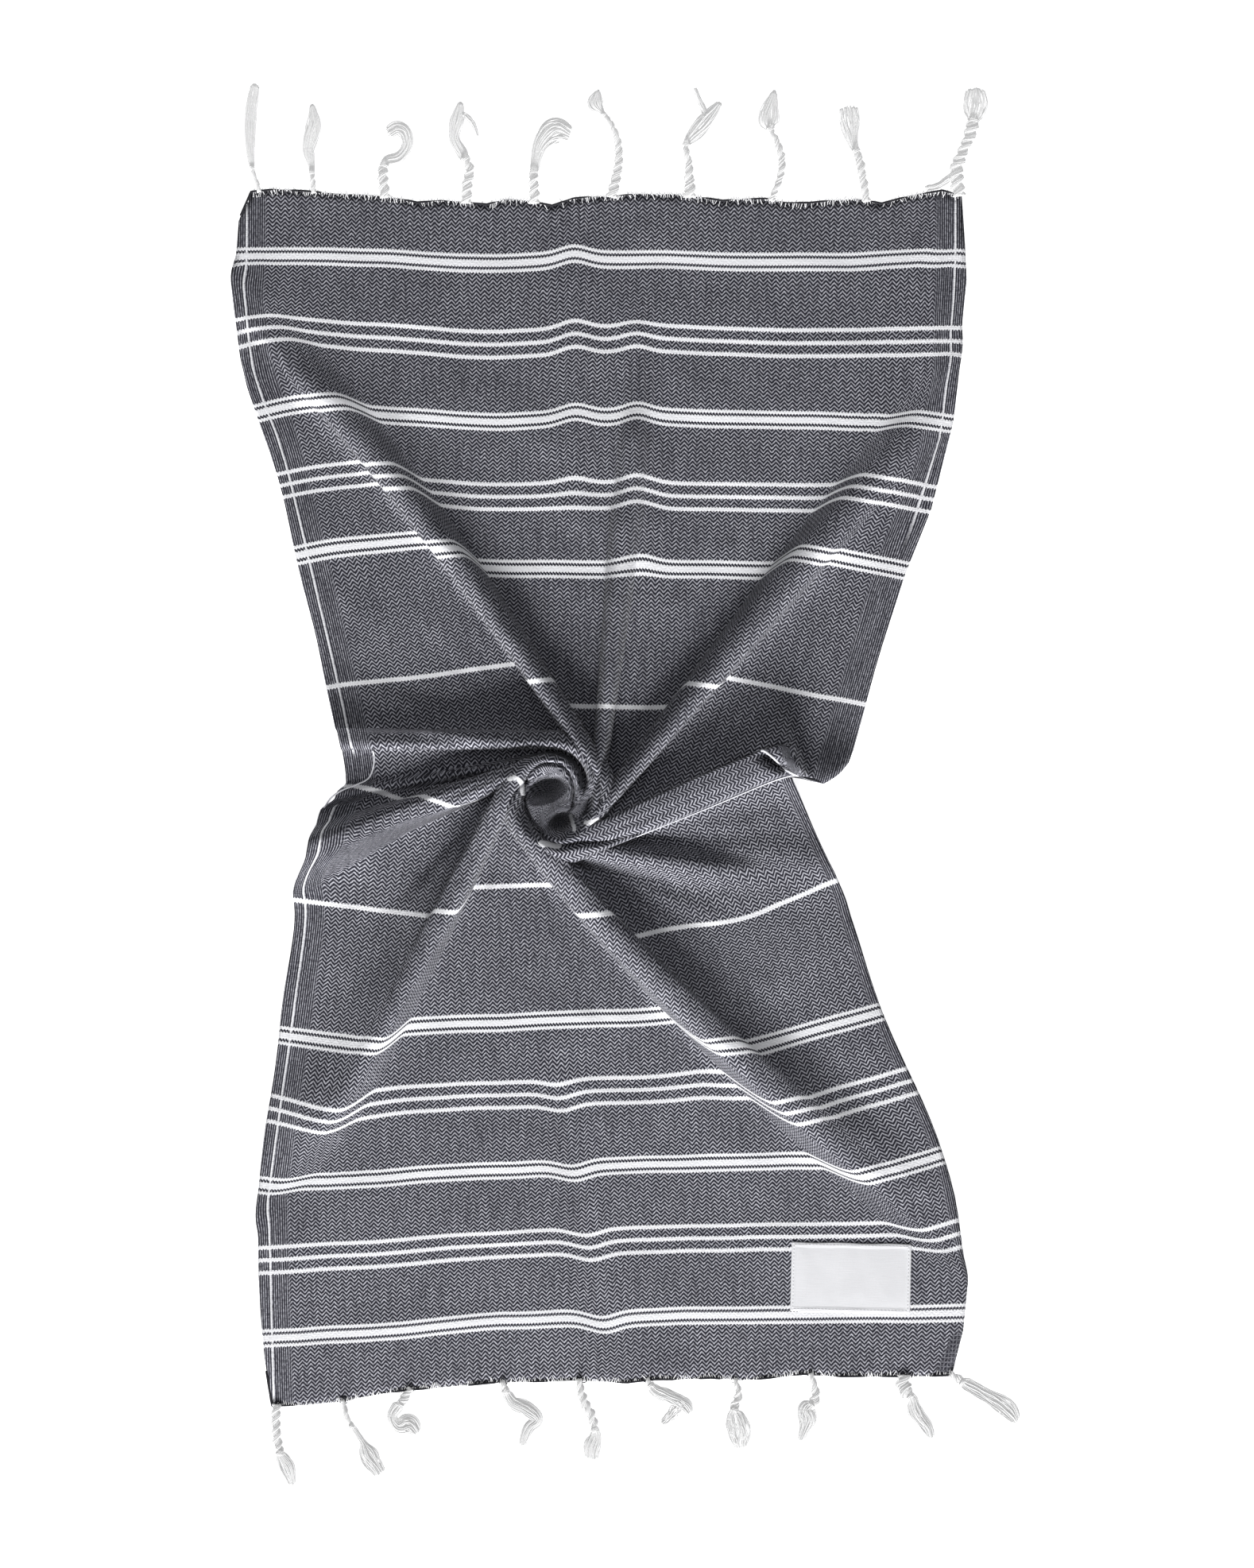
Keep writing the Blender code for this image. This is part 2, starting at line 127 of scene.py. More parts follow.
def setUv(piece, flat):
    # the flat cloth's own place in metres at every vertex, as the UV map
    mesh = piece.data
    vertex = np.empty(len(mesh.loops), np.int32)
    mesh.loops.foreach_get("vertex_index", vertex)
    layer = mesh.uv_layers.new(name="flatCloth")
    layer.uv.foreach_set("vector", (flat[vertex] * mm).astype(np.float32).ravel())


def setValue(piece, name, values):
    # one number at every vertex, for the materials
    layer = piece.data.attributes.new(name, "FLOAT", "POINT")
    layer.data.foreach_set("value", values.astype(np.float32))


def waves(x, y, seed, scale, count=14):
    # smooth unevenness from -1 to 1: a sum of plane waves of about one length in every direction
    dice = np.random.default_rng(seed)
    total = np.zeros_like(x)
    for turn, phase, size in zip(dice.uniform(0, np.pi, count), dice.uniform(0, 2 * np.pi, count),
                                 dice.uniform(0.7, 1.5, count)):
        total += np.cos((x * np.cos(turn) + y * np.sin(turn)) * 2 * np.pi * size / scale + phase)
    return total / np.sqrt(count / 2.0) / 2.0


class Socket:
    # one output of a node; sums and products of these add Math nodes
    def __init__(self, shop, link):
        self.shop, self.link = shop, link

    def maths(self, kind, other, swapped=False):
        a, b = (other, self) if swapped else (self, other)
        return self.shop.node("ShaderNodeMath", dict(operation=kind), {0: a, 1: b})

    def __add__(self, other):
        return self.maths("ADD", other)

    def __sub__(self, other):
        return self.maths("SUBTRACT", other)

    def __rsub__(self, other):
        return self.maths("SUBTRACT", other, True)

    def __mul__(self, other):
        return self.maths("MULTIPLY", other)

    def __truediv__(self, other):
        return self.maths("DIVIDE", other)

    def __abs__(self):
        return self.maths("ABSOLUTE", 0.0)

    __radd__ = __add__
    __rmul__ = __mul__


class Shop:
    # a material and the nodes in it
    def __init__(self, name, roughness, **plain):
        self.material = bpy.data.materials.new(name)
        self.material.use_nodes = True
        self.tree = self.material.node_tree
        self.shader = self.tree.nodes["Principled BSDF"]
        self.shader.inputs["Roughness"].default_value = roughness
        for key, value in plain.items():
            self.shader.inputs[key].default_value = value

    def node(self, kind, settings=None, values=None, output=0):
        # any node: its settings first, then the values or links of its sockets
        made = self.tree.nodes.new(kind)
        for key, value in (settings or {}).items():
            setattr(made, key, value)
        for key, value in (values or {}).items():
            self.join(made.inputs[key], value)
        return Socket(self, made.outputs[output])

    def join(self, socket, value):
        if isinstance(value, Socket):
            self.tree.links.new(value.link, socket)
        else:
            socket.default_value = value

    def feed(self, name, value):
        self.join(self.shader.inputs[name], value)

    def soft(self, value, low, high):
        # 0 below low, 1 above high, eased between
        return self.node("ShaderNodeMapRange", dict(interpolation_type="SMOOTHSTEP"),
                         {"Value": value, "From Min": low, "From Max": high})

    def band(self, value, centre, half, blur=0.25):
        return 1.0 - self.soft(abs(value - centre), half - blur, half + blur)

    def either(self, *masks):
        total = masks[0]
        for mask in masks[1:]:
            total = total.maths("MAXIMUM", mask)
        return total

    def wave(self, value, period):
        cosine = self.node("ShaderNodeMath", dict(operation="COSINE"), {0: value * (2.0 * np.pi / period)})
        return cosine * 0.5 + 0.5

    def zigzag(self, value, period):
        return value.maths("PINGPONG", period / 2.0) / (period / 2.0)

    def noise(self, place, scale, detail=2.0):
        return self.node("ShaderNodeTexNoise", {}, {"Vector": place, "Scale": scale, "Detail": detail})

    def stretch(self, place, factors):
        return self.node("ShaderNodeVectorMath", dict(operation="MULTIPLY"), {0: place, 1: factors})

    def mix(self, share, first, second):
        return self.node("ShaderNodeMix", dict(data_type="FLOAT"), {0: share, 2: first, 3: second})

    def value(self, name):
        return self.node("ShaderNodeAttribute", dict(attribute_name=name), {}, 2)

    def objectPlace(self):
        return self.node("ShaderNodeTexCoord", {}, {}, 3)

    def flatPlace(self):
        return self.node("ShaderNodeUVMap", dict(uv_map="flatCloth"))

    def xy(self, vector):
        first = self.node("ShaderNodeSeparateXYZ", {}, {"Vector": vector})
        return first, Socket(self, first.link.node.outputs[1])

    def blend(self, share, first, second):
        made = self.tree.nodes.new("ShaderNodeMix")
        made.data_type = "RGBA"
        self.join(made.inputs["Factor"], share)
        self.join(made.inputs["A"], first)
        self.join(made.inputs["B"], second)
        return Socket(self, made.outputs["Result"])

    def bump(self, height, distance):
        self.feed("Normal", self.node("ShaderNodeBump", {}, {"Height": height, "Distance": distance}))

    def glow(self, colour, strength):
        # the colour with a little light of its own, so that white stays white in shade
        self.feed("Base Color", colour)
        self.feed("Emission Color", colour)
        self.feed("Emission Strength", strength)


def yarnMaterial(row):
    # two tones of one cotton, mixed by fine noise that also roughens the surface
    shop = Shop(row["finish"], row["rough"])
    tone = shop.noise(shop.objectPlace(), row["grain"], 2.0)
    shop.feed("Base Color", shop.blend(tone, row["dark"], row["pale"]))
    shop.bump(tone, row["relief"])
    return shop.material


# flat: a point of the flat towel; lies: where it lies on the table; weft and warp: turn of the crosswise and
# lengthwise yarns in degrees; stretch: lengthwise
panels = {
    "right": dict(flat=(243, -116), lies=(131.9, -28), weft=20, warp=25, stretch=1.0),
    "upperRight": dict(flat=(248, 400), lies=(230, 299.5), weft=-11, warp=-16.3, stretch=1.03),
    "top": dict(flat=(0, 356), lies=(-18, 257.5), weft=-0.4, warp=0, stretch=1.01),
    "upperLeft": dict(flat=(-250, 432), lies=(-266, 333.5), weft=9.5, warp=13.2, stretch=1.0),
    "waist": dict(flat=(-250, 0), lies=(-190, -1.5), weft=-3, warp=8, stretch=1.0),
    "waistLow": dict(flat=(-208, 0), lies=(-160, -8.6), weft=-20, warp=-5, stretch=1.0),
    "lowerLeft": dict(flat=(-250, -325), lies=(-247.8, -247), weft=-7, warp=-7.8, stretch=1.0),
    "bottom": dict(flat=(0, -410), lies=(-2, -320.5), weft=2.2, warp=1.5, stretch=1.0),
    "lowerRight": dict(flat=(240, -156), lies=(145.5, -63.5), weft=16, warp=18.5, stretch=1.035),
}

# heading: degrees from +X; offset: how far the crest passes from the spiral's middle; bend, power: sideways
# drift of the crest by its reach. The next six give values near the spiral, halfway and at the reach:
# cw, ccw: width of the two sides; high: height; crispCw, crispCcw: 1 for a rolled edge that hangs over its
# foot, 0 for a soft slope; used: part of the hidden cloth taken up on the cw side.
# skirtCw, skirtCcw: height at that foot as a share of the crest's, and how far out it slopes away;
# fade, fadeLong: share of the reach where the fold begins to die away, and over how much
folds = [
    dict(name="rightRoll", after="upperRight", heading=23, offset=34, bend=-10, power=22,
         cw=(10, 12, 12), ccw=(9, 11, 11), high=(22, 21, 18), crispCw=(1, 1, 1), crispCcw=(1, 1, 1),
         used=(0.5, 0.5, 0.5), skirtCw=(0.3, 22), skirtCcw=(0.95, 76), reach=172, fade=0.955, fadeLong=0.05),
    dict(name="upperRightRidge", after="top", heading=50, offset=28, bend=0, power=2,
         cw=(5, 11, 16), ccw=(6, 18, 26), high=(22, 12, 3), crispCw=(1, 0.6, 0), crispCcw=(1, 0.4, 0),
         used=(0.5, 0.25, 0), skirtCw=(0.3, 16), skirtCcw=(0.2, 14), reach=400, fade=0.75),
    dict(name="topRidge", after="top", heading=84, offset=29, bend=0, power=2,
         cw=(5, 12, 16), ccw=(5, 10, 14), high=(21, 11, 2), crispCw=(1, 0.3, 0), crispCcw=(1, 0.5, 0),
         used=(0.5, 0.5, 0.5), skirtCw=(0, 10), skirtCcw=(0, 10), reach=340, fade=0.7),
    dict(name="upperLeftRidge", after="upperLeft", heading=124, offset=39, bend=26, power=3,
         cw=(7, 16, 26), ccw=(6, 9, 12), high=(22, 14, 5), crispCw=(1, 0.15, 0), crispCcw=(1, 1, 0.2),
         used=(0.5, 0.6, 1), skirtCw=(0.35, 20), skirtCcw=(0.1, 10), reach=400, fade=0.78),
    dict(name="leftRidge", after="waist", heading=180, offset=42, bend=0, power=2,
         cw=(8, 9, 10), ccw=(5, 5, 5), high=(20, 16, 12), crispCw=(0.7, 0.5, 0.4), crispCcw=(1, 1, 1),
         used=(0.2, 0.2, 0.2), skirtCw=((0.5, 0.85, 1.0), 46), skirtCcw=(0.15, 12), reach=150, fade=2),
    dict(name="waistFlap", after="waistLow", heading=190, offset=31, bend=0, power=2,
         cw=(5, 6, 8), ccw=(4, 5, 8), high=(5, 4, 3), crispCw=(0, 0, 0), crispCcw=(0, 0, 0),
         used=(0.5, 0.5, 0.5), skirtCw=(0, 10), skirtCcw=(0, 10), reach=150, fade=2),
    dict(name="lowerWaistRidge", after="lowerLeft", heading=199, offset=27, bend=0, power=2,
         cw=(7, 10, 14), ccw=(7, 14, 30), high=(20, 14, 9), crispCw=(1, 0.5, 0), crispCcw=(1, 0.2, 0),
         used=(0.1, 0.1, 0.3), skirtCw=(0.3, 14), skirtCcw=(0.25, 24), reach=180, fade=2),
    dict(name="lowerLeftRidge", after="bottom", heading=242, offset=31, bend=-14, power=6,
         cw=(7, 9, 12), ccw=(7, 14, 24), high=(21, 13, 6), crispCw=(1, 0.3, 0), crispCcw=(1, 0.1, 0),
         used=(0.4, 0.1, 0), skirtCw=(0.75, 42), skirtCcw=(0.1, 10), reach=300, fade=0.85),
    dict(name="lowerRightRidge", after="lowerRight", heading=304, offset=27, bend=83, power=1.5,
         cw=(9, 15, 24), ccw=(9, 13, 16), high=(22, 15, 5), crispCw=(1, 0.3, 0), crispCcw=(1, 0.5, 0),
         used=(0.35, 0.85, 1), skirtCw=(0.1, 10), skirtCcw=(0.75, 31), reach=396, fade=0.75),
    dict(name="rightLowRidge", after="right", heading=352, offset=29, bend=0, power=2,
         cw=(12, 18, 22), ccw=(10, 12, 16), high=(15, 7, 3), crispCw=(0.2, 0, 0), crispCcw=(0.3, 0, 0),
         used=(0.5, 0.5, 0.5), skirtCw=(0, 10), skirtCcw=(0, 10), reach=190, fade=0.6),
]

# broad swells of the cloth: middle, heading, half length, half width and height
swells = rowsOf(
    "name x y heading long wide high",
    ("besideRoll", 84, 30, 25, 62, 20, 2),
    ("flapCorner", 142, 4, -8, 44, 25, 12),
    ("lowerLeftFlank", -205, -42, 200, 40, 24, 6),
    ("rightFlank", 120, -52, 350, 50, 22, 5),
)

# the raw ends between the tassels: middle, half width, and how far they sag inwards, or reach out if below 0
topSags = ((-222, 32, -3.0), (-131, 9, 3.2), (-112, 30, 2.0), (-84, 11, 4.0), (-37, 12, 6.0), (38, 26, -2.2),
           (84, 9, 2.5), (139, 15, 3.3), (193, 8, 3.4), (234, 18, -5.5))
bottomSags = ((-230, 34, -5.0), (-194, 9, -2.0), (-162, 10, 1.8), (-104, 12, 1.0), (-8, 9, -4.0),
              (80, 12, -2.0), (118, 10, 2.4), (165, 10, 1.0), (190, 11, -3.5))

# pressed creases: a line on the table, half width, height, and how far the yarns drift lengthwise on it
creases = rowsOf(
    "name start end wide high drift",
    ("topMiddle", (-37, 420), (-36, 210), 13, 1.5, 4.5),
    ("topRight", (6, 330), (10, 150), 13, 1.5, 4.5),
    ("bottomMiddle", (-50, -200), (-12, -400), 13, -1.5, -4.5),
    ("bottomLeft", (-108, -70), (-96, -260), 16, 1.0, 0.0),
    ("bottomRight", (30, -110), (60, -250), 14, 0.8, 1.0),
)

# broad pulls of the cloth: middle, half width, half length, and how far across and lengthwise
pulls = rowsOf(
    "name x y wide long across drift",
    ("leftOfWaist", -205, 70, 60, 42, 0, 5),
    ("leftHip", -213, -20, 26, 17, -6.5, 0),
    ("leftFlank", -222, -52, 34, 24, -9.5, 0),
    ("leftOfThird", -215, 182, 70, 46, 0, 5.5),
    ("leftCorner", -272, 322, 34, 26, 0, 5),
    ("topLeftSag", -96, 311, 55, 110, 0, -4.3),
    ("topLeftRise", -233, 290, 40, 60, 0, 3.5),
    ("topRightSag", 129, 311, 60, 110, 0, -2.2),
    ("topRightRise", 213, 366, 40, 32, 0, 3.5),
    ("thirdRight", 200, 256, 40, 24, 0, -3),
    ("rightEdge", 236, 309, 32, 30, -4, 0),
    ("leftShoulder", -262, 290, 40, 42, -7.6, 0),
    ("rightFlank", 84, -89, 50, 34, 0, -9),
    ("lowLeft", -204, -227, 30, 30, 0, -5),
    ("bottomLeftRise", -75, -390, 95, 115, 0, 6.5),
    ("bottomRightRise", 70, -370, 90, 140, 0, 3.5),
    ("rightHip", 214, -255, 48, 66, 9.5, 0),
    ("ridgeBand", 63, -184, 18, 16, 0, 3),
    ("rightCorner", 238, -370, 40, 36, 6, 0),
    ("rightShoulder", 212, 215, 40, 44, 8, 0),
)

# foldRays, panelRays: rays across a fold, and for each degree of a flat area; the rings lie along them;
# neck: where the folds end at the spiral; hubTurn: degrees that the cloth inside it is turned
cloth = dict(halfWide=255.0, halfLong=510.0, hub=(-51.0, -11.0), thick=0.8,
             foldRays=19, panelRays=0.46, outerRings=98, innerRings=40, ringGrowth=1.35, hubTurn=125.0,
             searchReach=760.0, neck=25.0)
hub = np.array(cloth["hub"])


def threePoint(sizes, fold, along):
    # a fold's three values, spread evenly from the neck to its reach
    middle = (cloth["neck"] + fold["reach"]) / 2.0
    return np.interp(along, (cloth["neck"], middle, fold["reach"]), sizes)


def crestLine(fold, along):
    # sideways place of a crest, counterclockwise from the line through the spiral's middle:
    # the bend times a power of the reach, and straight on past it
    t = along / fold["reach"]
    onward = 1.0 + fold["power"] * (t - 1.0)
    return fold["bend"] * np.where(t <= 1.0, np.abs(t) ** fold["power"], onward) - fold["offset"]


def aliveShare(fold, along):
    # 1 along a fold, falling to 0 where it dies away
    return 1.0 - eased((along / fold["reach"] - fold["fade"]) / fold.get("fadeLong", 0.3))


def crestHeight(fold, along):
    # the three heights, less where the fold dies away
    return threePoint(fold["high"], fold, along) * aliveShare(fold, along)


def crispness(fold, word, along):
    # 1 for a rolled side and 0 for a soft one, less where the fold dies away
    return threePoint(fold["crisp" + word.capitalize()], fold, along) * aliveShare(fold, along)


def panelAxes(panel):
    # where one mm of weft and one mm of warp point on the table, as columns
    weft, warp = np.radians(panel["weft"]), np.radians(panel["warp"])
    across = (np.cos(weft), np.sin(weft))
    along = (-np.sin(warp) * panel["stretch"], np.cos(warp) * panel["stretch"])
    return np.array((across, along)).T


def flatPoint(name, place):
    # the point of the flat towel that lies at a place on the table, in one flat area
    panel = panels[name]
    back = np.linalg.inv(panelAxes(panel))
    return np.array(panel["flat"]) + (place - np.array(panel["lies"])) @ back.T


def lyingPoint(name, flat):
    # the way back: where a point of the flat towel lies
    panel = panels[name]
    return np.array(panel["lies"]) + (flat - np.array(panel["flat"])) @ panelAxes(panel).T


# how far the long edges are drawn in at each place, and their small ripple, in mm
drawIn = dict(underMiddle=14.0, underEnd=14.0, rollCorner=15.0, topRight=3.0, topLeft=10.5, lowLeft=5.5,
              ripple=0.5)


def rightLimit(v):
    # the right edge; below the middle a strip of it is turned under, and above the roll its corner is rounded
    turned = drawIn["underMiddle"] * eased(-v / 80.0) + drawIn["underEnd"] * eased((-v - 380.0) / 130.0)
    rounded = drawIn["rollCorner"] * np.clip((120.0 - v) / 24.0, 0.0, 1.0) ** 2 * eased((v + 20.0) / 60.0)
    top = drawIn["topRight"] * eased((v - 440.0) / 70.0)
    return cloth["halfWide"] - turned - rounded + drawIn["ripple"] * np.sin(v / 17.0) - top


def leftLimit(v):
    # the left edge, drawn in towards both raw ends
    drawn = drawIn["topLeft"] * np.exp((np.minimum(v, 510.0) - 510.0) / 12.0)
    drawn = drawn + drawIn["lowLeft"] * eased((-v - 455.0) / 55.0)
    return drawn - cloth["halfWide"] + drawIn["ripple"] * np.sin(v / 15.0 + 1.0)


def endLimit(u, v):
    # the raw ends: longer towards some tassels, sagging inwards between them
    limit = cloth["halfLong"] - 2.0 + 0.35 * np.cos(u * 2 * np.pi / 31.0 + v / 300.0)
    for sign, rows in ((1.0, topSags), (-1.0, bottomSags)):
        for middle, wide, deep in rows:
            limit = limit - deep * np.exp(-((u - middle) / wide) ** 2) * (np.sign(v) == sign)
    return limit


def past(flat):
    # how far outside the towel's outline a flat point is
    u, v = flat[..., 0], flat[..., 1]
    sides = np.maximum(leftLimit(v) - u, u - rightLimit(v))
    return np.maximum(sides, np.abs(v) - endLimit(u, v))


def pulled(place, flat):
    # the flat point again, after the local pulls
    moved = flat.copy()
    for pull in pulls:
        gone = ((place[..., 0] - pull["x"]) / pull["wide"]) ** 2
        gone = gone + ((place[..., 1] - pull["y"]) / pull["long"]) ** 2
        moved -= np.exp(-gone)[..., None] * np.array((pull["across"], pull["drift"]))
    return moved


rolled = np.radians(116.0)  # how far round a rolled edge goes from its crest to its foot


def footWidth(fold, word, along):
    # sideways distance from the crest to the foot; a rolled edge's foot is tucked under
    crisp = crispness(fold, word, along)
    return threePoint(fold[word], fold, along) * (1.0 - crisp * (1.0 - np.sin(rolled)))


def footHeight(fold, word, along):
    # height where the fold's side meets the flat area: a share of the crest's
    share = fold["skirt" + word.capitalize()][0]
    return crestHeight(fold, along) * (threePoint(share, fold, along) if isinstance(share, tuple) else share)


def foldSide(fold, word, part, along):
    # one side of a fold, part from 0 on the crest to 1 at its foot:
    # sideways distance, height and how much of the hidden cloth is already taken up from the foot on
    crisp = crispness(fold, word, along)
    width = threePoint(fold[word], fold, along)
    wide = width * (crisp * np.sin(rolled * part) + (1.0 - crisp) * part)
    roll = (np.cos(rolled * part) - np.cos(rolled)) / (1.0 - np.cos(rolled))
    shape = crisp * roll + (1.0 - crisp) * (0.5 + 0.5 * np.cos(np.pi * part))
    foot = footHeight(fold, word, along)
    high = foot + (crestHeight(fold, along) - foot) * shape
    return wide, high, eased((1.0 - part) / (0.8 - 0.5 * crisp))


def foldRays(index, side, along):
    # along is a rays by rings array of distances; side is from -1 to 1 for each ray
    fold = folds[index]
    out, left = compass(fold["heading"])
    side = side[:, None]
    wideCw, highCw, goneCw = foldSide(fold, "cw", np.abs(side), along)
    wideCcw, highCcw, goneCcw = foldSide(fold, "ccw", np.abs(side), along)
    drift = crestLine(fold, along) + np.where(side < 0, -wideCw, wideCcw)
    place = hub + along[..., None] * out + drift[..., None] * left
    used = threePoint(fold["used"], fold, along)
    share = np.where(side < 0, used * goneCw, 1.0 - (1.0 - used) * goneCcw)[..., None]
    before, after = flatPoint(folds[index - 1]["after"], place), flatPoint(fold["after"], place)
    high = np.where(side < 0, highCw, highCcw)
    if fold["name"] != "rightRoll":
        return place, high, pulled(place, (1.0 - share) * before + share * after)
    # the roll is the towel's own right edge turned over, its yarns running along it
    roll = np.stack((224.0 - (drift - crestLine(fold, along)), along - 8.0), -1)
    ends = eased((along - 158.0) / 8.0)[..., None]
    share = (1.0 - ends) * share + ends * eased((side + 1.0) / 0.12)[..., None]
    roll = (1.0 - ends) * roll + ends * after
    start, finish = np.minimum(2.0 * share, 1.0), np.maximum(2.0 * share - 1.0, 0.0)
    flat = (1.0 - finish) * ((1.0 - start) * before + start * roll) + finish * after
    return place, high, flat


def panelRays(index, part, along):
    # the same across a flat area; part is from 0 to 1 on the way to the next fold
    fold, following = folds[index], folds[(index + 1) % len(folds)]
    gap = (following["heading"] - fold["heading"]) % 360
    part = part[:, None]
    out, left = compass(fold["heading"] + gap * part)
    start = crestLine(fold, along) + footWidth(fold, "ccw", along)
    end = crestLine(following, along) - footWidth(following, "cw", along)
    drift = (1.0 - part) * start + part * end
    place = hub + along[..., None] * out + drift[..., None] * left
    high = np.zeros_like(along)
    for edge, line, word, weight in ((fold, start, "ccw", 1.0 - part), (following, end, "cw", part)):
        edgeOut, edgeLeft = compass(edge["heading"])
        foot = hub + along[..., None] * edgeOut + line[..., None] * edgeLeft
        away = np.linalg.norm(place - foot, axis=2) / edge["skirt" + word.capitalize()][1]
        high = high + footHeight(edge, word, along) * np.clip(1.0 - away, 0.0, 1.0) ** 1.8 * weight ** 0.5
    return place, high, pulled(place, flatPoint(fold["after"], place))


def cornerParts(index, search):
    # parts across a flat area where a ray meets a corner of the towel
    parts = np.linspace(0.01, 0.99, 197)
    place = panelRays(index, parts, np.broadcast_to(search, (len(parts), len(search))))[0]
    found = []
    for v in (cloth["halfLong"], -cloth["halfLong"]):
        for u in (float(leftLimit(np.array(v))), float(rightLimit(np.array(v)))):
            end = np.sign(v) * endLimit(np.array(u), np.array(v))
            corner = lyingPoint(folds[index]["after"], np.array((u, end)))
            miss = np.linalg.norm(place - corner, axis=2).min(axis=1)
            if miss.min() < 3.0:
                found.append(parts[int(np.argmin(miss))])
    return found


def panelParts(index, search):
    # even parts across a flat area, the nearest of them moved onto each corner of the towel
    gap = (folds[(index + 1) % len(folds)]["heading"] - folds[index]["heading"]) % 360
    steps = max(int(gap * cloth["panelRays"]), 3)
    parts = np.arange(1, steps) / steps
    for part in cornerParts(index, search):
        parts[int(np.argmin(np.abs(parts - part)))] = part
    return np.sort(parts)


# the spiral's dome, the level of its middle, and the least height of the cloth, in mm
dome = dict(high=9.0, flatTo=24.0, fadeLong=44.0, middleHigh=24.0, middleTo=20.0, middleFade=10.0, least=0.6)
# the open end of the right roll
mouth = dict(x=100.5, y=16.5, heading=-31.0, long=9.5, wide=2.3, deep=14.0)


def baseHeight(place):
    # a low dome round the spiral, and a bell for each swell
    away = place - hub
    radius = np.linalg.norm(away, axis=-1)
    high = dome["high"] * (1.0 - eased((radius - dome["flatTo"]) / dome["fadeLong"]))
    for swell in swells:
        out, left = compass(swell["heading"])
        gone = place - np.array((swell["x"], swell["y"]))
        far = (gone @ out / swell["long"]) ** 2 + (gone @ left / swell["wide"]) ** 2
        high = high + swell["high"] * np.exp(-far)
    return high


def rollMouth(place):
    # a narrow hollow across the roll: a blunt bell along its heading, a plain one across
    out, left = compass(mouth["heading"])
    gone = place - np.array((mouth["x"], mouth["y"]))
    return -mouth["deep"] * np.exp(-(gone @ out / mouth["long"]) ** 4 - (gone @ left / mouth["wide"]) ** 2)


# the spiral: two hollows, and the grooves between the rolled bands round them, from the spiral's middle
hollows = rowsOf(
    "x y turn long wide deep",
    (-5.5, 9.6, 20, 12.5, 7.6, 17),
    (5.5, -13.5, 30, 8.5, 6.0, 17),
)
grooves = [
    dict(x=(-20, -19, -15, -5, 8, 14, 13, 9), y=(4, 14, 22, 27, 24, 12, -2, -10), wide=1.2, deep=7),
    dict(x=(-20, -19, -15, -5, 6, 18, 35, 60), y=(4, -3, -13, -26, -30, -28, -27, -21), wide=1.6, deep=9),
    dict(x=(-62, -40, -22, -6, 8, 19, 25, 24), y=(31, 33, 38, 38, 34, 26, 12, -8), wide=1.3, deep=3),
    dict(x=(24, 27, 31, 36, 42, 48, 54, 60), y=(-6, 4, 16, 30, 44, 58, 72, 86), wide=1.6, deep=4),
]


def nearestOf(place, xs, ys):
    # distance from each place to a smooth curve through a few points
    curve = curveThrough(np.stack((xs, ys), -1).astype(float), 60)
    flatPlaces = place.reshape(-1, 2)
    best = np.full(len(flatPlaces), 1e9)
    for spot in curve:
        best = np.minimum(best, (flatPlaces[:, 0] - spot[0]) ** 2 + (flatPlaces[:, 1] - spot[1]) ** 2)
    return np.sqrt(best).reshape(place.shape[:-1])


def curveThrough(points, count):
    # even samples of a smooth curve through a few points
    padded = np.vstack((2 * points[0] - points[1], points, 2 * points[-1] - points[-2]))
    t = np.linspace(0.0, len(points) - 1.0, count)
    k = np.minimum(t.astype(int), len(points) - 2)
    f = (t - k)[:, None]
    a, b, c, d = (padded[k + n] for n in range(4))
    bend, twist = 2 * a - 5 * b + 4 * c - d, 3 * b - a - 3 * c + d
    return 0.5 * (2 * b + (c - a) * f + bend * f ** 2 + twist * f ** 3)


def spiralCut(place):
    # what the hollows and the grooves take off the height
    away = place - hub
    cut = np.zeros(place.shape[:-1])
    for hollow in hollows:
        out, left = compass(hollow["turn"])
        gone = away - np.array((hollow["x"], hollow["y"]))
        far = (gone @ out / hollow["long"]) ** 2 + (gone @ left / hollow["wide"]) ** 2
        cut = np.maximum(cut, hollow["deep"] * np.exp(-far ** 2))
    for groove in grooves:
        far = nearestOf(away, groove["x"], groove["y"]) / groove["wide"]
        cut = np.maximum(cut, groove["deep"] * np.exp(-far ** 2))
    return cut


# soft puckers, at two scales, and the lines that run into the spiral, in mm
puckers = dict(level=0.8, broad=0.8, broadLong=70.0, fine=0.35, fineLong=24.0, lines=0.55)


def unevenness(place):
    # soft puckers of a washed cloth, and fine tension lines that run into the spiral
    x, y = place[..., 0], place[..., 1]
    away = place - hub
    radius = np.linalg.norm(away, axis=-1)
    slant = np.arcsin(np.clip(30.0 / np.maximum(radius, 30.0), 0, 1))
    angle = np.arctan2(away[..., 1], away[..., 0]) + slant
    soft = puckers["level"] + puckers["broad"] * waves(x, y, 3, puckers["broadLong"])
    soft = soft + puckers["fine"] * waves(x, y, 5, puckers["fineLong"])
    lines = np.cos(angle * 31.0 + 2.0 * np.cos(angle * 5.0)) + 0.7 * np.cos(angle * 47.0 + 1.0)
    near = eased((radius - 30.0) / 25.0) * (1.0 - eased((radius - 60.0) / 170.0))
    return np.maximum(soft, 0.0) + puckers["lines"] * near * lines


def surfaceHeight(place, foldsHigh):
    # folds, dome, puckers and mouth added up, level in the spiral's middle, less its hollows and grooves
    radius = np.linalg.norm(place - hub, axis=-1)
    inner = 1.0 - eased((radius - dome["middleTo"]) / dome["middleFade"])
    outer = np.maximum(foldsHigh, 0.0) + baseHeight(place) + unevenness(place) + rollMouth(place)
    high = inner * dome["middleHigh"] + (1.0 - inner) * outer
    return np.maximum(high - spiralCut(place), dome["least"])


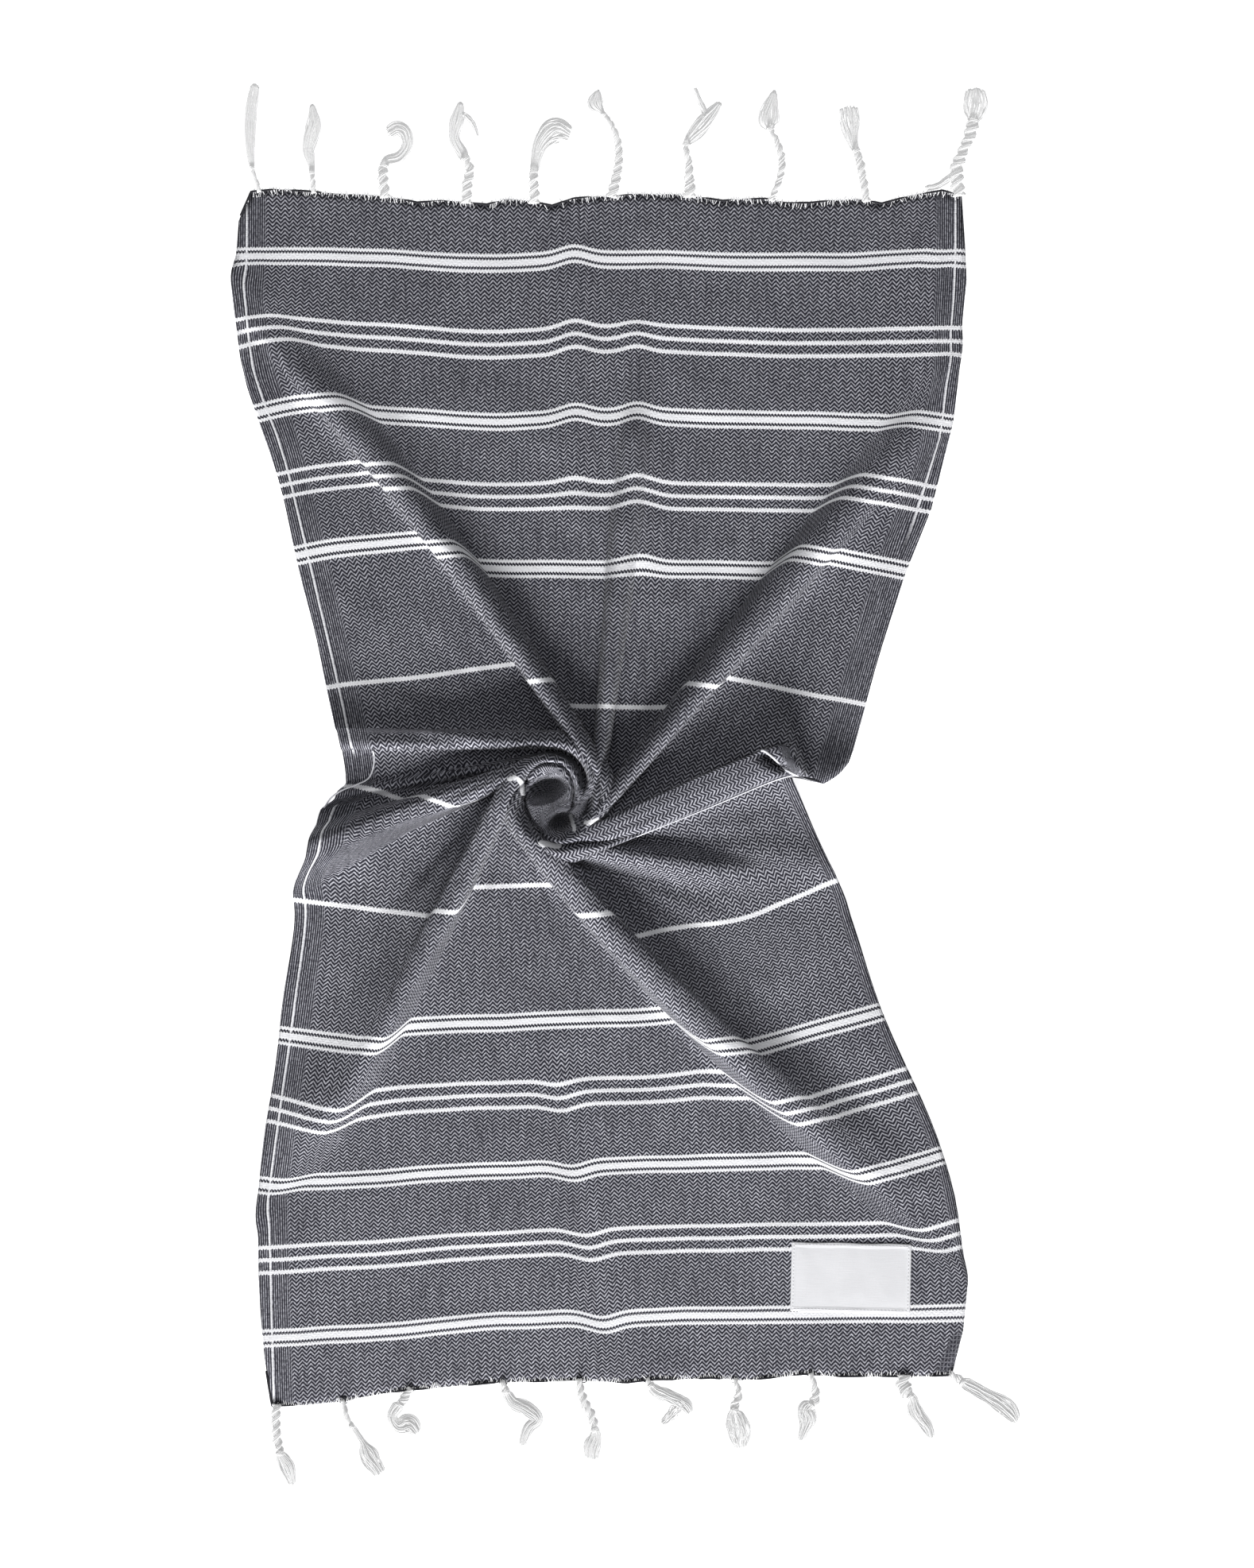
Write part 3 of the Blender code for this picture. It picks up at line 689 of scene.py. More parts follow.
def clothGrid():
    # every ray from the spiral's middle to the edge: places, heights and flat points as whole arrays
    search = np.linspace(0.0, cloth["searchReach"], 761)
    places, heights, flats = [], [], []
    rings = np.linspace(0.0, 1.0, cloth["outerRings"]) ** cloth["ringGrowth"]
    inward = np.linspace(0.0, 1.0, cloth["innerRings"])[1:]
    for index in range(len(folds)):
        across = np.linspace(-1.0, 1.0, cloth["foldRays"])
        for maker, where in ((foldRays, across), (panelRays, panelParts(index, search))):
            far = np.broadcast_to(search, (len(where), len(search)))
            beyond = past(maker(index, where, far)[2])
            beyond[:, search < cloth["neck"]] = -1.0
            last = np.argmax(beyond > 0, axis=1)
            rows = np.arange(len(where))
            before, after = beyond[rows, last - 1], beyond[rows, last]
            end = search[last - 1] + (search[last] - search[last - 1]) * before / (before - after)
            place, high, flat = maker(index, where, end[:, None] * rings)
            gone = place[:, 0] - hub
            radius = np.linalg.norm(gone, axis=1)[:, None] * np.cos(inward * np.pi / 2.0)
            angle = np.arctan2(gone[:, 1], gone[:, 0])[:, None] - np.radians(cloth["hubTurn"]) * inward
            inner = hub + radius[..., None] * np.stack((np.cos(angle), np.sin(angle)), -1)
            steps = np.linalg.norm(np.diff(np.concatenate((place[:, :1], inner), 1), axis=1), axis=2)
            aim = flat[:, 4] - flat[:, 0]
            aim /= np.linalg.norm(aim, axis=1)[:, None]
            innerFlat = flat[:, :1] - aim[:, None] * np.cumsum(steps, axis=1)[..., None]
            places.append(np.concatenate((inner[:, ::-1], place), 1))
            heights.append(np.concatenate((np.repeat(high[:, :1], len(inward), 1), high), 1))
            flats.append(np.concatenate((innerFlat[:, ::-1], flat), 1))
    return np.concatenate(places), np.concatenate(heights), np.concatenate(flats)


def gridNormals(points):
    # unit normals of a closed grid of rays: the outward step crossed with the step round
    around = np.roll(points, -1, 0) - np.roll(points, 1, 0)
    outward = np.gradient(points, axis=1)
    normal = np.cross(outward, around)
    size = np.linalg.norm(normal, axis=2, keepdims=True)
    return np.where(size > 1e-9, normal / np.maximum(size, 1e-9), np.array((0.0, 0.0, 1.0)))


# pieces of the middle stripe that show on the spiral: a bent line each, and its width
spots = [
    dict(x=(-30, -25, -22, -21), y=(16, 17, 13, 6), wide=1.5),
    dict(x=(12, 13, 14, 15), y=(-9, -12, -15, -19), wide=1.3),
    dict(x=(23, 25, 28, 31), y=(-14, -14, -13, -12), wide=1.5),
    dict(x=(-8, -4, -1, 4), y=(-28, -29, -29.5, -30), wide=1.9),
]


def spotShare(place):
    # 1 on the bent lines and 0 a millimetre beside them
    share = np.zeros(place.shape[:-1])
    for spot in spots:
        far = nearestOf(place - hub, spot["x"], spot["y"])
        share = np.maximum(share, 1.0 - eased((far - spot["wide"] + 0.5) / 1.0))
    return share


def nearWaist(place):
    # where the left edge is bent round at the waist, and its thread is laid as a yarn of its own
    return (place[..., 0] < -165) * (place[..., 1] < 26.5) * (place[..., 1] > -13.0) * 1.0


def makeCloth():
    # the middle surface moved half the thickness up and down along its normals, closed by a rim
    place, foldsHigh, flat = clothGrid()
    high = surfaceHeight(place, foldsHigh)
    middle = np.concatenate((place, high[..., None]), 2)
    normal = gridNormals(middle)
    half = cloth["thick"] / 2.0
    middle[..., 2] += half
    rays, rings = high.shape
    front = (middle + half * normal).reshape(-1, 3)
    back = (middle - half * normal).reshape(-1, 3)
    back[:, 2] = np.maximum(back[:, 2], 0.0)
    count = rays * rings
    upper = gridFaces(rays, rings, True)
    lower = upper[:, ::-1] + count
    rim = np.arange(rays) * rings + rings - 1
    rimNext = np.roll(rim, -1)
    edge = np.stack((rim, rim + count, rimNext + count, rimNext), -1)
    # the innermost ring of each layer is one point, so its faces are triangles
    points = np.concatenate((front, back))
    for layer in (0, count):
        inner = layer + np.arange(rays) * rings
        points[inner] = points[inner].mean(0)
    piece = fillMesh("towelCloth", points, [upper, lower, edge])
    setUv(piece, np.concatenate((flat.reshape(-1, 2),) * 2))
    radius = np.linalg.norm(place - hub, axis=-1)
    setValue(piece, "onSpiral", np.tile((1.0 - eased((radius - 45.0) / 3.0)).ravel(), 2))
    setValue(piece, "leftWaist", np.tile(nearWaist(place).ravel(), 2))
    setValue(piece, "stripeSpot", np.tile(spotShare(place).ravel(), 2))
    return piece, middle


clothPiece, clothMiddle = makeCloth()
print("cloth", len(clothPiece.data.polygons), "faces")


# the twill's zigzag, its colours, and the stripes by their distance from the raw ends, in mm
weave = dict(zigWide=5.8, zigHigh=2.8, zigRise=1.1,
             darkYarn=(0.010, 0.010, 0.018, 1), lightYarn=(0.66, 0.66, 0.73, 1), stripe=(0.95, 0.95, 0.98, 1),
             groupWide=(45.0, 154.0, 259.0), groupThree=(100.0, 208.0),
             groupPitch=8.9, single=354.0, threadIn=8.0)


def creaseNodes(shop):
    # the pressed creases, worked out where they are seen: their height and the yarns' lengthwise drift in mm
    x, y = (side * 1000.0 for side in shop.xy(shop.objectPlace()))
    high, drift = 0.0, 0.0
    for crease in creases:
        (x0, y0), (x1, y1) = crease["start"], crease["end"]
        reach = float(np.hypot(x1 - x0, y1 - y0))
        runX, runY = (x1 - x0) / reach, (y1 - y0) / reach
        along = (x - x0) * runX + (y - y0) * runY
        across = ((y - y0) * runX - (x - x0) * runY) / crease["wide"]
        bell = shop.node("ShaderNodeMath", dict(operation="EXPONENT"), {0: across * across * -1.0})
        bell = bell * shop.soft(along, -0.12 * reach, 0.1 * reach)
        bell = bell * (1.0 - shop.soft(along, 0.9 * reach, 1.12 * reach))
        high = bell * crease["high"] + high
        drift = bell * crease["drift"] + drift
    return high, drift


def clothMaterial():
    # white stripes by their distance from the raw ends, on a dark ground with pale zigzag specks;
    # u and v are the flat cloth's own place in mm, so that the pattern follows the folds
    sheen = {"Sheen Weight": 0.12, "Sheen Roughness": 0.6, "Specular IOR Level": 0.25}
    shop = Shop("towelWeave", 0.92, **sheen)
    uv = shop.flatPlace()
    u, rows = (side * 1000.0 for side in shop.xy(uv))
    creaseHigh, creaseDrift = creaseNodes(shop)
    wander = shop.noise(shop.stretch(uv, (16.0, 7.0, 0.0)), 1.0, 1.0)
    v = rows - creaseDrift + (wander - 0.5) * 3.0
    teeth = (shop.zigzag(u, 2.15) - 0.5) * 1.0
    inward = 510.0 - abs(v) + teeth
    whites, gaps = [shop.band(v + teeth, 0.0, 1.6), shop.band(inward, weave["single"], 1.6)], []
    for centre in weave["groupThree"]:
        for step in (-1, 0, 1):
            whites.append(shop.band(inward, centre + step * weave["groupPitch"], 1.4))
    for centre in weave["groupWide"]:
        off = abs(inward - centre)
        whites.append(shop.either(shop.band(off, 0.0, 2.3), shop.band(off, 5.3, 1.1)))
        gaps.append(shop.band(off, 3.25, 0.85))
    spot = shop.soft(shop.value("stripeSpot"), 0.3, 0.7)
    white = shop.either(shop.either(*whites) * (1.0 - shop.value("onSpiral")), spot)
    fine = shop.stretch(uv, (1000.0, 1000.0, 0.0))
    yarnNoise = shop.noise(shop.stretch(fine, (0.62, 0.45, 1.0)), 1.0, 1.0)
    longNoise = shop.noise(shop.stretch(fine, (0.50, 0.035, 1.0)), 1.0, 2.0)
    crossNoise = shop.noise(shop.stretch(fine, (0.02, 0.8, 1.0)), 1.0, 2.0)
    cloudNoise = shop.noise(shop.stretch(fine, (0.012, 0.012, 1.0)), 1.0, 2.0)
    phase = v / weave["zigHigh"] + shop.zigzag(u, weave["zigWide"]) * weave["zigRise"]
    twill = shop.soft(shop.wave(phase, 1.0) + (yarnNoise - 0.5) * 0.8, 0.55, 0.75)
    selvage = shop.soft(abs(u), 232.0, 236.0)
    lines = shop.soft(shop.wave(u + (longNoise - 0.5) * 0.6, 1.5) + (yarnNoise - 0.5) * 0.8, 0.5, 1.0)
    speck = shop.mix(selvage, twill, lines)
    # the dark line between a wide stripe and its narrow neighbours is crossed by slanted white floats
    floats = shop.soft(shop.wave(u + v * 0.7, 2.15), 0.7, 1.0)
    speck = shop.mix(shop.either(*gaps), speck, floats * 0.8)
    streaks = (longNoise - 0.5) * 1.5 + (crossNoise - 0.5) * 0.4
    shade = streaks + (cloudNoise - 0.5) * 0.6 + (yarnNoise - 0.5) * 1.2 + 1.0
    # the lower right corner is folded over on itself; there the ground is drawn darker, with a pale hatch in
    # place of the twill
    corner = shop.soft(u - (v + 502.0) * 0.36, 213.0, 216.0) * shop.soft(v * -1.0, 474.0, 482.0)
    hatch = shop.either(shop.soft(shop.wave(u, 2.3), 0.7, 1.0), shop.soft(shop.wave(v, 3.1), 0.8, 1.0)) * 0.4
    speck = shop.mix(corner * 0.85, speck, hatch)
    ground = shop.blend(speck * 0.47 * shade, weave["darkYarn"], weave["lightYarn"])
    rib = shop.wave(u, 1.05) * 0.5 + shop.wave(v, 1.4) * 0.5
    stripeNoise = shop.noise(shop.stretch(fine, (0.3, 1.6, 1.0)), 1.0, 2.0)
    # the v term paints the stripes brighter towards the top end and darker towards the bottom end: painted
    # shade against the key light, which is stronger at the bottom
    stripeShade = (stripeNoise - 0.5) * 0.22 + rib * 0.08 + 0.79 + v * 0.00014
    stripe = shop.blend(stripeShade, (0.0, 0.0, 0.0, 1.0), weave["stripe"])
    # on the right the edge is turned under from the second stripe group down to the middle
    shown = 1.0 - shop.soft(u, 100.0, 120.0) * (1.0 - shop.soft(v, 262.0, 300.0))
    shown = shown * (1.0 - shop.value("leftWaist"))
    thread = shop.band(abs(u) + (longNoise - 0.5) * 0.5, 255.0 - weave["threadIn"], 0.6) * shown
    threadShown = thread * (shop.soft(yarnNoise, 0.25, 0.45) * 0.35 + 0.65)
    colour = shop.blend(shop.either(white, threadShown), ground, stripe)
    shop.feed("Base Color", colour)
    relief = speck * 0.6 + white * 0.5 + rib * 0.35 + (yarnNoise - 0.5) * 0.5 + thread * 0.6
    shop.feed("Roughness", 0.95 - white * 0.08 - speck * 0.04)
    yarnRelief = shop.node("ShaderNodeBump", {}, {"Height": relief, "Distance": 0.00022})
    creased = {"Height": creaseHigh, "Distance": 0.001, "Normal": yarnRelief}
    shop.feed("Normal", shop.node("ShaderNodeBump", {}, creased))
    return shop.material


clothPiece.data.materials.append(clothMaterial())
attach(clothPiece, "root")
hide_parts("towel")
print("cloth material done")


# each path runs outwards from the raw end: place on the table and half width;
# tie: where the twisted part stops; wisp: a few yarns that stray
topTassels = [
    dict(root=(-256, 1.2), tie=0.2,
         path=((-261.3, 432, 1.4), (-262.6, 452, 3), (-261.7, 474, 3.1), (-258.9, 490, 2.4))),
    dict(root=(-218.3, 1.4), tie=0.2,
         path=((-220, 432, 1.9), (-222, 445, 3.6), (-218.3, 461, 4.1), (-219.6, 476, 0.9))),
    dict(root=(-168.4, 3), tie=0.3,
         path=((-170.2, 427, 3), (-167.5, 435.6, 2.8), (-159.2, 438.3, 3.1), (-153.4, 445.7, 3.2),
               (-154.4, 455, 3.9), (-160.1, 458.4, 4.3), (-167, 454.4, 3.4))),
    dict(root=(-112.1, 3.2), tie=0.4,
         path=((-111.2, 421, 3.1), (-109.3, 430, 2.5), (-114.8, 441, 3), (-120.2, 452, 2.9),
               (-118, 465, 4.2), (-115.8, 477.4, 1.2)),
         wisp=((-114, 468.5, 1.5), (-108, 463, 1.3), (-104, 453, 0.5))),
    dict(root=(-64.4, 3.2), tie=0.3,
         path=((-65, 424.4, 3), (-63.2, 437.4, 2.9), (-58.6, 450, 5.2), (-49.3, 457, 7.2), (-39, 454, 4.6))),
    dict(root=(-10.5, 3.6), tie=0.72,
         path=((-5.9, 433.7, 2.7), (-6.8, 450.3, 2.3), (-12.4, 463.2, 1.9), (-17.9, 470.6, 1.7),
               (-22, 476.5, 4.6), (-19.8, 486, 0.7))),
    dict(root=(43.9, 4.2), tie=0.46,
         path=((43, 433.7, 2.3), (41.2, 446.6, 2.3), (48.6, 456.8, 4.5), (57.8, 467, 4.2),
               (65.2, 477.2, 1.3)),
         wisp=((55.5, 468, 1.6), (51, 477, 1.4), (47.1, 487, 0.9))),
    dict(root=(100.3, 1.5), tie=0.62,
         path=((106.8, 424.4, 1.9), (107.6, 437.4, 2.4), (104, 449.5, 2.1), (100.4, 456.8, 2.1),
               (98.6, 465, 6.2), (103, 485.6, 1))),
    dict(root=(167, 2.4), tie=0.5,
         path=((161.5, 437.4, 2.9), (157.5, 448.5, 2.9), (155.3, 461.4, 5.6), (153.8, 474.4, 5))),
    dict(root=(231.4, 4.2), tie=0.68,
         path=((229.5, 429, 4.3), (235.1, 444.7, 3.1), (239.7, 455.8, 4.1), (241.5, 465, 4.8),
               (242.5, 476, 7.6), (242.8, 487, 4.6)),
         wisp=((208, 417, 1.2), (218, 419.5, 1.7), (228.5, 427, 2))),
]
bottomTassels = [
    dict(root=(-244, 2.6), tie=0.55,
         path=((-244.7, -437, 2.8), (-244.1, -452.7, 2.7), (-241.4, -465.7, 3.2), (-236.7, -475, 4.3),
               (-233.1, -488, 1.7))),
    dict(root=(-198.2, 1.1), tie=0.3,
         path=((-194.3, -441.7, 1.9), (-185, -456.4, 1.8), (-180.6, -465.7, 5.4), (-171.2, -480, 3.4))),
    dict(root=(-150.5, 1.7), tie=0.25,
         path=((-158.3, -430.6, 3.3), (-163.3, -439, 2.9), (-159.4, -446.4, 3.2), (-152, -444.5, 6),
               (-145.7, -451.4, 2.4))),
    dict(root=(-87.2, 1.4), tie=0.1,
         path=((-80.7, -428.7, 3.6), (-69.6, -434.2, 4.3), (-62.6, -441.5, 3.3), (-68.8, -448, 3.1),
               (-73.3, -460.2, 2))),
    dict(root=(-33.6, 1.8), tie=0.6,
         path=((-30.9, -427, 3.1), (-25.3, -438, 3.1), (-22, -451, 3), (-24.2, -460, 4.9),
               (-24.4, -470, 3.4))),
    dict(root=(13.5, 1.1), tie=0.1,
         path=((19.9, -421.3, 3.3), (32, -426.5, 3.7), (40.3, -431.5, 4.1), (44, -437.2, 2)),
         wisp=((37.5, -430, 3.4), (31, -438, 3), (24.5, -444.4, 1.4))),
    dict(root=(75.3, 1.1), tie=0.42,
         path=((77.7, -424, 2.2), (74.8, -433.3, 3), (76.8, -443.5, 6.2), (78.4, -452, 6.3),
               (79.4, -462, 3.8))),
    dict(root=(128, 1.3), tie=0.42,
         path=((131.3, -421.3, 2.2), (130.4, -428.7, 3.2), (124.6, -434.2, 4.5), (125.8, -442, 4.8),
               (120.6, -456.6, 1.3))),
    dict(root=(193, 3.6), tie=0.3,
         path=((192.8, -419.6, 4.9), (199, -427, 2.8), (201.2, -436.2, 4.1), (209, -447.2, 3.5),
               (212, -454.8, 1.9))),
    dict(root=(224.9, 1.8), tie=0.15,
         path=((235.1, -415.8, 3.6), (248, -423.2, 4.1), (260.4, -430, 4.7), (266.3, -435, 5),
               (272, -443.4, 2.2))),
]
tasselYarn = dict(yarns=40, wispYarns=9, thick=0.5, samples=56, pitch=13.0, spread=1.22, tieThick=0.42,
                  rootIn=0.8, topTone=1.0, bottomTone=0.7, tableGap=0.02)
endFrom = 380.0  # the raw ends lie further than this from the middle


def tubes(paths, radii, sides):
    # paths: tubes by samples by 3; radii the same without the last axis: a ring of points round every
    # sample, square to the path, joined to the next ring and capped at both ends
    tangent = np.gradient(paths, axis=1)
    tangent /= np.maximum(np.linalg.norm(tangent, axis=2, keepdims=True), 1e-9)
    up = np.where(np.abs(tangent[..., 2:]) > 0.9, np.array((1.0, 0.0, 0.0)), np.array((0.0, 0.0, 1.0)))
    side = np.cross(tangent, up)
    side /= np.maximum(np.linalg.norm(side, axis=2, keepdims=True), 1e-9)
    over = np.cross(side, tangent)
    turn = np.arange(sides) * 2 * np.pi / sides
    ring = side[..., None, :] * np.cos(turn)[:, None] + over[..., None, :] * np.sin(turn)[:, None]
    points = paths[..., None, :] + radii[..., None, None] * ring
    count, samples = radii.shape
    j, i, k = np.meshgrid(np.arange(count), np.arange(samples - 1), np.arange(sides), indexing="ij")
    a = (j * samples + i) * sides + k
    b = (j * samples + i) * sides + (k + 1) % sides
    quads = np.stack((a, b, b + sides, a + sides), -1).reshape(-1, 4)
    caps = []
    for row, flip in ((0, True), (samples - 1, False)):
        ends = (np.arange(count)[:, None] * samples + row) * sides + np.arange(sides)
        caps.append(ends[:, ::-1] if flip else ends)
    return points.reshape(-1, 3), [quads] + caps


def edgeRow(top):
    # a raw end's points, from left to right
    ends = clothMiddle[:, -1]
    rows = ends[ends[:, 1] > endFrom] if top else ends[ends[:, 1] < -endFrom]
    return rows[np.argsort(rows[:, 0])]


def edgeAt(x, top):
    # how far up or down the raw end lies at x
    rows = edgeRow(top)
    return float(np.interp(x, rows[:, 0], rows[:, 1]))


def joined(parts):
    # several (points, faces) as one
    points, faces, first = [], [], 0
    for some, groups in parts:
        points.append(some)
        faces += [group + first for group in groups]
        first += len(some)
    return np.concatenate(points), faces


def yarnBundle(path, count, tie, dice):
    # yarns along one path: two plies laid round each other as far as the tie, then loose and side by side
    line = curveThrough(np.array(path, float), 161)
    plan, half = line[:, :2], np.maximum(line[:, 2], 0.5) * tasselYarn["spread"]
    reach = np.concatenate(((0.0,), np.cumsum(np.linalg.norm(np.diff(plan, axis=0), axis=1))))
    heading = np.gradient(plan, axis=0)
    heading /= np.linalg.norm(heading, axis=1)[:, None]
    spread = np.linspace(-1.0, 1.0, count)[:, None]
    end = 1.0 - 0.02 * dice.uniform(0, 1, (count, 1)) - 0.015 * spread ** 2
    share = np.linspace(0.0, 1.0, tasselYarn["samples"])[None, :] * end
    s = share * reach[-1]
    plan, half, heading = ([np.interp(s, reach, column) for column in np.atleast_2d(rows.T)]
                           for rows in (plan, half[:, None], heading))
    half = half[0]
    loose = eased((share - tie + 0.05) / 0.14)
    turn = 2 * np.pi * np.minimum(s, (tie + 0.05) * reach[-1]) / tasselYarn["pitch"]
    ply = (np.arange(count) % 2)[:, None] * np.pi
    inPly = dice.uniform(0, 2 * np.pi, (count, 1))
    size = 0.6 * np.sqrt(dice.uniform(0, 1, (count, 1)))
    twistedSide = 0.42 * np.cos(turn + ply) + size * np.cos(inPly + turn)
    twistedUp = 0.3 * np.sin(turn + ply) + size * np.sin(inPly + turn)
    wander = 0.10 * np.sin(share * 9.0 + inPly * 3.0) + 0.05 * np.sin(share * 23.0 + inPly * 7.0)
    sideways = half * ((1.0 - loose) * twistedSide + loose * (spread * 0.92 + wander))
    layer = dice.uniform(0, 1, (count, 1)) * np.sqrt(1.0 - 0.8 * spread ** 2)
    tall = np.minimum(half, 2.0)
    up = (1.0 - loose) * tall * (1.0 + twistedUp) + loose * layer * (0.8 + 0.28 * half)
    up = up + tasselYarn["thick"]
    path = np.stack((plan[0] - heading[1] * sideways, plan[1] + heading[0] * sideways, up), -1)
    thick = tasselYarn["thick"] * (1.0 - 0.25 * share ** 4) * dice.uniform(0.85, 1.15, (count, 1))
    parts = [tubes(path, thick, 4)]
    if tie:
        # the yarn wound twice round the bundle at the tie
        k = int(np.argmin(np.abs(reach - (tie + 0.03) * reach[-1])))
        w = np.linspace(0.0, 2.2, 44)[None, :]
        ring = min(line[k, 2], 2.6) + 0.15
        across = ring * np.cos(2 * np.pi * w)
        along = (w - 1.1) * 0.9
        out = np.gradient(line[:, :2], axis=0)[k]
        out /= np.linalg.norm(out)
        place = line[k, :2]
        x = place[0] + out[0] * along - out[1] * across
        y = place[1] + out[1] * along + out[0] * across
        z = np.maximum(min(line[k, 2], 2.0) + 0.4 + min(ring, 2.2) * np.sin(2 * np.pi * w), 0.45)
        parts.append(tubes(np.stack((x, y, z), -1), tasselYarn["tieThick"] * np.ones_like(w), 6))
    return parts


def makeTassel(name, node, row, top, seed):
    # the bundle along its path from just inside the raw end, with its wisp, kept off the table
    dice = np.random.default_rng(seed)
    outward = 1.0 if top else -1.0
    x, half = row["root"]
    root = (x, edgeAt(x, top) - outward * tasselYarn["rootIn"], half)
    parts = yarnBundle((root,) + row["path"], tasselYarn["yarns"], row["tie"], dice)
    if "wisp" in row:
        parts += yarnBundle(row["wisp"], tasselYarn["wispYarns"], 0.0, dice)
    points, faces = joined(parts)
    points[:, 2] = np.maximum(points[:, 2], tasselYarn["tableGap"])
    piece = fillMesh(name, points, faces)
    # the bottom tassels are drawn darker than the top ones
    setValue(piece, "endTone", np.full(len(points), tasselYarn["topTone" if top else "bottomTone"]))
    piece.data.materials.append(tasselFinish)
    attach(piece, "root")
    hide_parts(node)
    return piece


def tasselMaterial():
    # white cotton, uneven in tone at two scales, with a glow of its own that is painted light
    shop = Shop("tasselCotton", 0.9, **{"Sheen Weight": 0.25})
    place = shop.objectPlace()
    yarn = shop.noise(place, 900.0, 3.0)
    cloud = shop.noise(place, 120.0, 2.0)
    shade = (yarn - 0.5) * 0.3 + (cloud - 0.5) * 0.3 + 0.9
    tone = shop.value("endTone")
    # the cotton glows with light of its own: painted light that keeps the tassels pale in shade
    shop.glow(shop.blend(shade * tone, (0.22, 0.22, 0.22, 1), (0.54, 0.54, 0.54, 1)), 0.6)
    shop.feed("Roughness", 0.86 + yarn * 0.1)
    shop.bump(yarn, 0.0003)
    return shop.material


tasselFinish = tasselMaterial()
tassels = []
for top, rows, word in ((True, topTassels, "top"), (False, bottomTassels, "bottom")):
    for number, row in enumerate(rows, 1):
        node = "tassel_%s_%02d" % (word, number)
        name = "tassel%s%02d" % (word.capitalize(), number)
        tassels.append(makeTassel(name, node, row, top, 40 + number + 20 * top))
print("tassels", len(tassels))


# pitch of the white yarn ends, how far they reach in and out, half thickness, and the dark roll's
fray = dict(pitch=1.15, inward=4.2, outward=2.6, thick=0.26, roll=0.85)


def runningMean(values, reach):
    # the mean of each value and its neighbours on both sides
    width = 2 * reach + 1
    return np.convolve(np.pad(values, reach, mode="edge"), np.ones(width) / width, "valid")


def frayYarns(top, dice):
    # white yarn ends that lie over the raw edge, fewer where it sags
    rows = edgeRow(top)
    x = np.arange(rows[0, 0] + 1, rows[-1, 0] - 1, fray["pitch"])
    x = x + dice.uniform(-0.5, 0.5, len(x))
    y, z = (np.interp(x, rows[:, 0], rows[:, k]) for k in (1, 2))
    outward = 1.0 if top else -1.0
    sag = (runningMean(y, 20) - y) * outward
    kept = dice.uniform(0, 1, len(x)) < 0.95 - 0.8 * eased((sag - 0.3) / 1.5)
    x, y, z = (each[kept][:, None] for each in (x, y, z))
    n = len(x)
    t = np.linspace(-1.0, 1.0, 9)[None, :]
    inside = fray["inward"] * dice.uniform(0.1, 1.0, (n, 1)) ** 1.6
    outside = fray["outward"] * dice.uniform(0.2, 1.0, (n, 1))
    run = np.where(t < 0, t * inside, t * outside)
    lean = dice.normal(0, 0.28, (n, 1))
    curl = dice.normal(0, 0.7, (n, 1)) * np.clip(t, 0, 1) ** 2
    bed = np.where(t < 0, 0.8, 0.8 - 0.7 * np.clip(t, 0, 1))
    path = np.stack((x + lean * run + curl, y + outward * run, np.maximum(z + bed, 0.3)), -1)
    thick = fray["thick"] * (1.1 - 0.5 * np.abs(t)) * dice.uniform(0.8, 1.5, (n, 1))
    return tubes(path, thick, 4)


def darkRoll(top, seed):
    # the raw end rolls up here and there, most where the end sags; the roll is drawn as a near-black tube
    rows = edgeRow(top)
    x = np.linspace(rows[0, 0] + 1.5, rows[-1, 0] - 1.5, 620)
    y, z = (np.interp(x, rows[:, 0], rows[:, k]) for k in (1, 2))
    outward = 1.0 if top else -1.0
    sag = np.clip((runningMean(y, 45) - y) * outward, 0.0, 2.0) / 2.0
    patchy = eased((waves(x, x * 0.0, seed, 42.0) + 0.25) / 0.9)
    thick = fray["roll"] * (0.12 + 0.88 * np.clip(patchy + sag, 0.0, 1.0))
    path = np.stack((x, y + outward * 0.15, z + 0.4 + 0.3 * thick), -1)
    return tubes(path[None], thick[None], 6)


def darkLoops(dice):
    # dark warp ends looped round the tassels' roots
    parts = []
    for top, rows in ((True, topTassels), (False, bottomTassels)):
        for row in rows:
            x = row["root"][0]
            for _ in range(1 if top else 3):
                w = np.linspace(0, 1, 22)[None, :] * dice.uniform(3.4, 5.6) + dice.uniform(0, 6)
                size = dice.uniform(1.2, 2.4) * (0.6 if top else 1.0)
                cx, cy = x + dice.normal(0, 1.5), edgeAt(x, top) + dice.normal(0, 0.7)
                loop = (cx + size * np.cos(w) * 1.3, cy + size * np.sin(w) * 0.8,
                        1.7 + 0.3 * np.sin(w * 2))
                parts.append(tubes(np.stack(loop, -1), np.full(w.shape, 0.34), 5))
    return parts


def makeFray():
    # white yarn ends over both raw ends, with the dark roll and loops under them
    dice = np.random.default_rng(11)
    white = [frayYarns(top, dice) for top in (True, False)]
    dark = [darkRoll(True, 5), darkRoll(False, 9)] + darkLoops(dice)
    tones = [np.full(len(part[0]), tone) for made, tone in ((white, 0.0), (dark, 1.0)) for part in made]
    points, faces = joined(white + dark)
    piece = fillMesh("endFray", points, faces)
    setValue(piece, "darkYarn", np.concatenate(tones))
    shop = Shop("frayYarn", 0.92)
    tone = shop.noise(shop.objectPlace(), 700.0, 2.0)
    pale = shop.blend(tone, (0.8, 0.8, 0.82, 1), (0.93, 0.93, 0.93, 1))
    # the yarn ends glow with a little light of their own: painted light that keeps the white ones white in
    # shade
    shop.glow(shop.blend(shop.value("darkYarn"), pale, (0.012, 0.012, 0.016, 1)), 0.2)
    shop.bump(tone, 0.0002)
    piece.data.materials.append(shop.material)
    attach(piece, "root")
    return piece


frayPiece = makeFray()
print("fray", len(frayPiece.data.polygons), "faces")


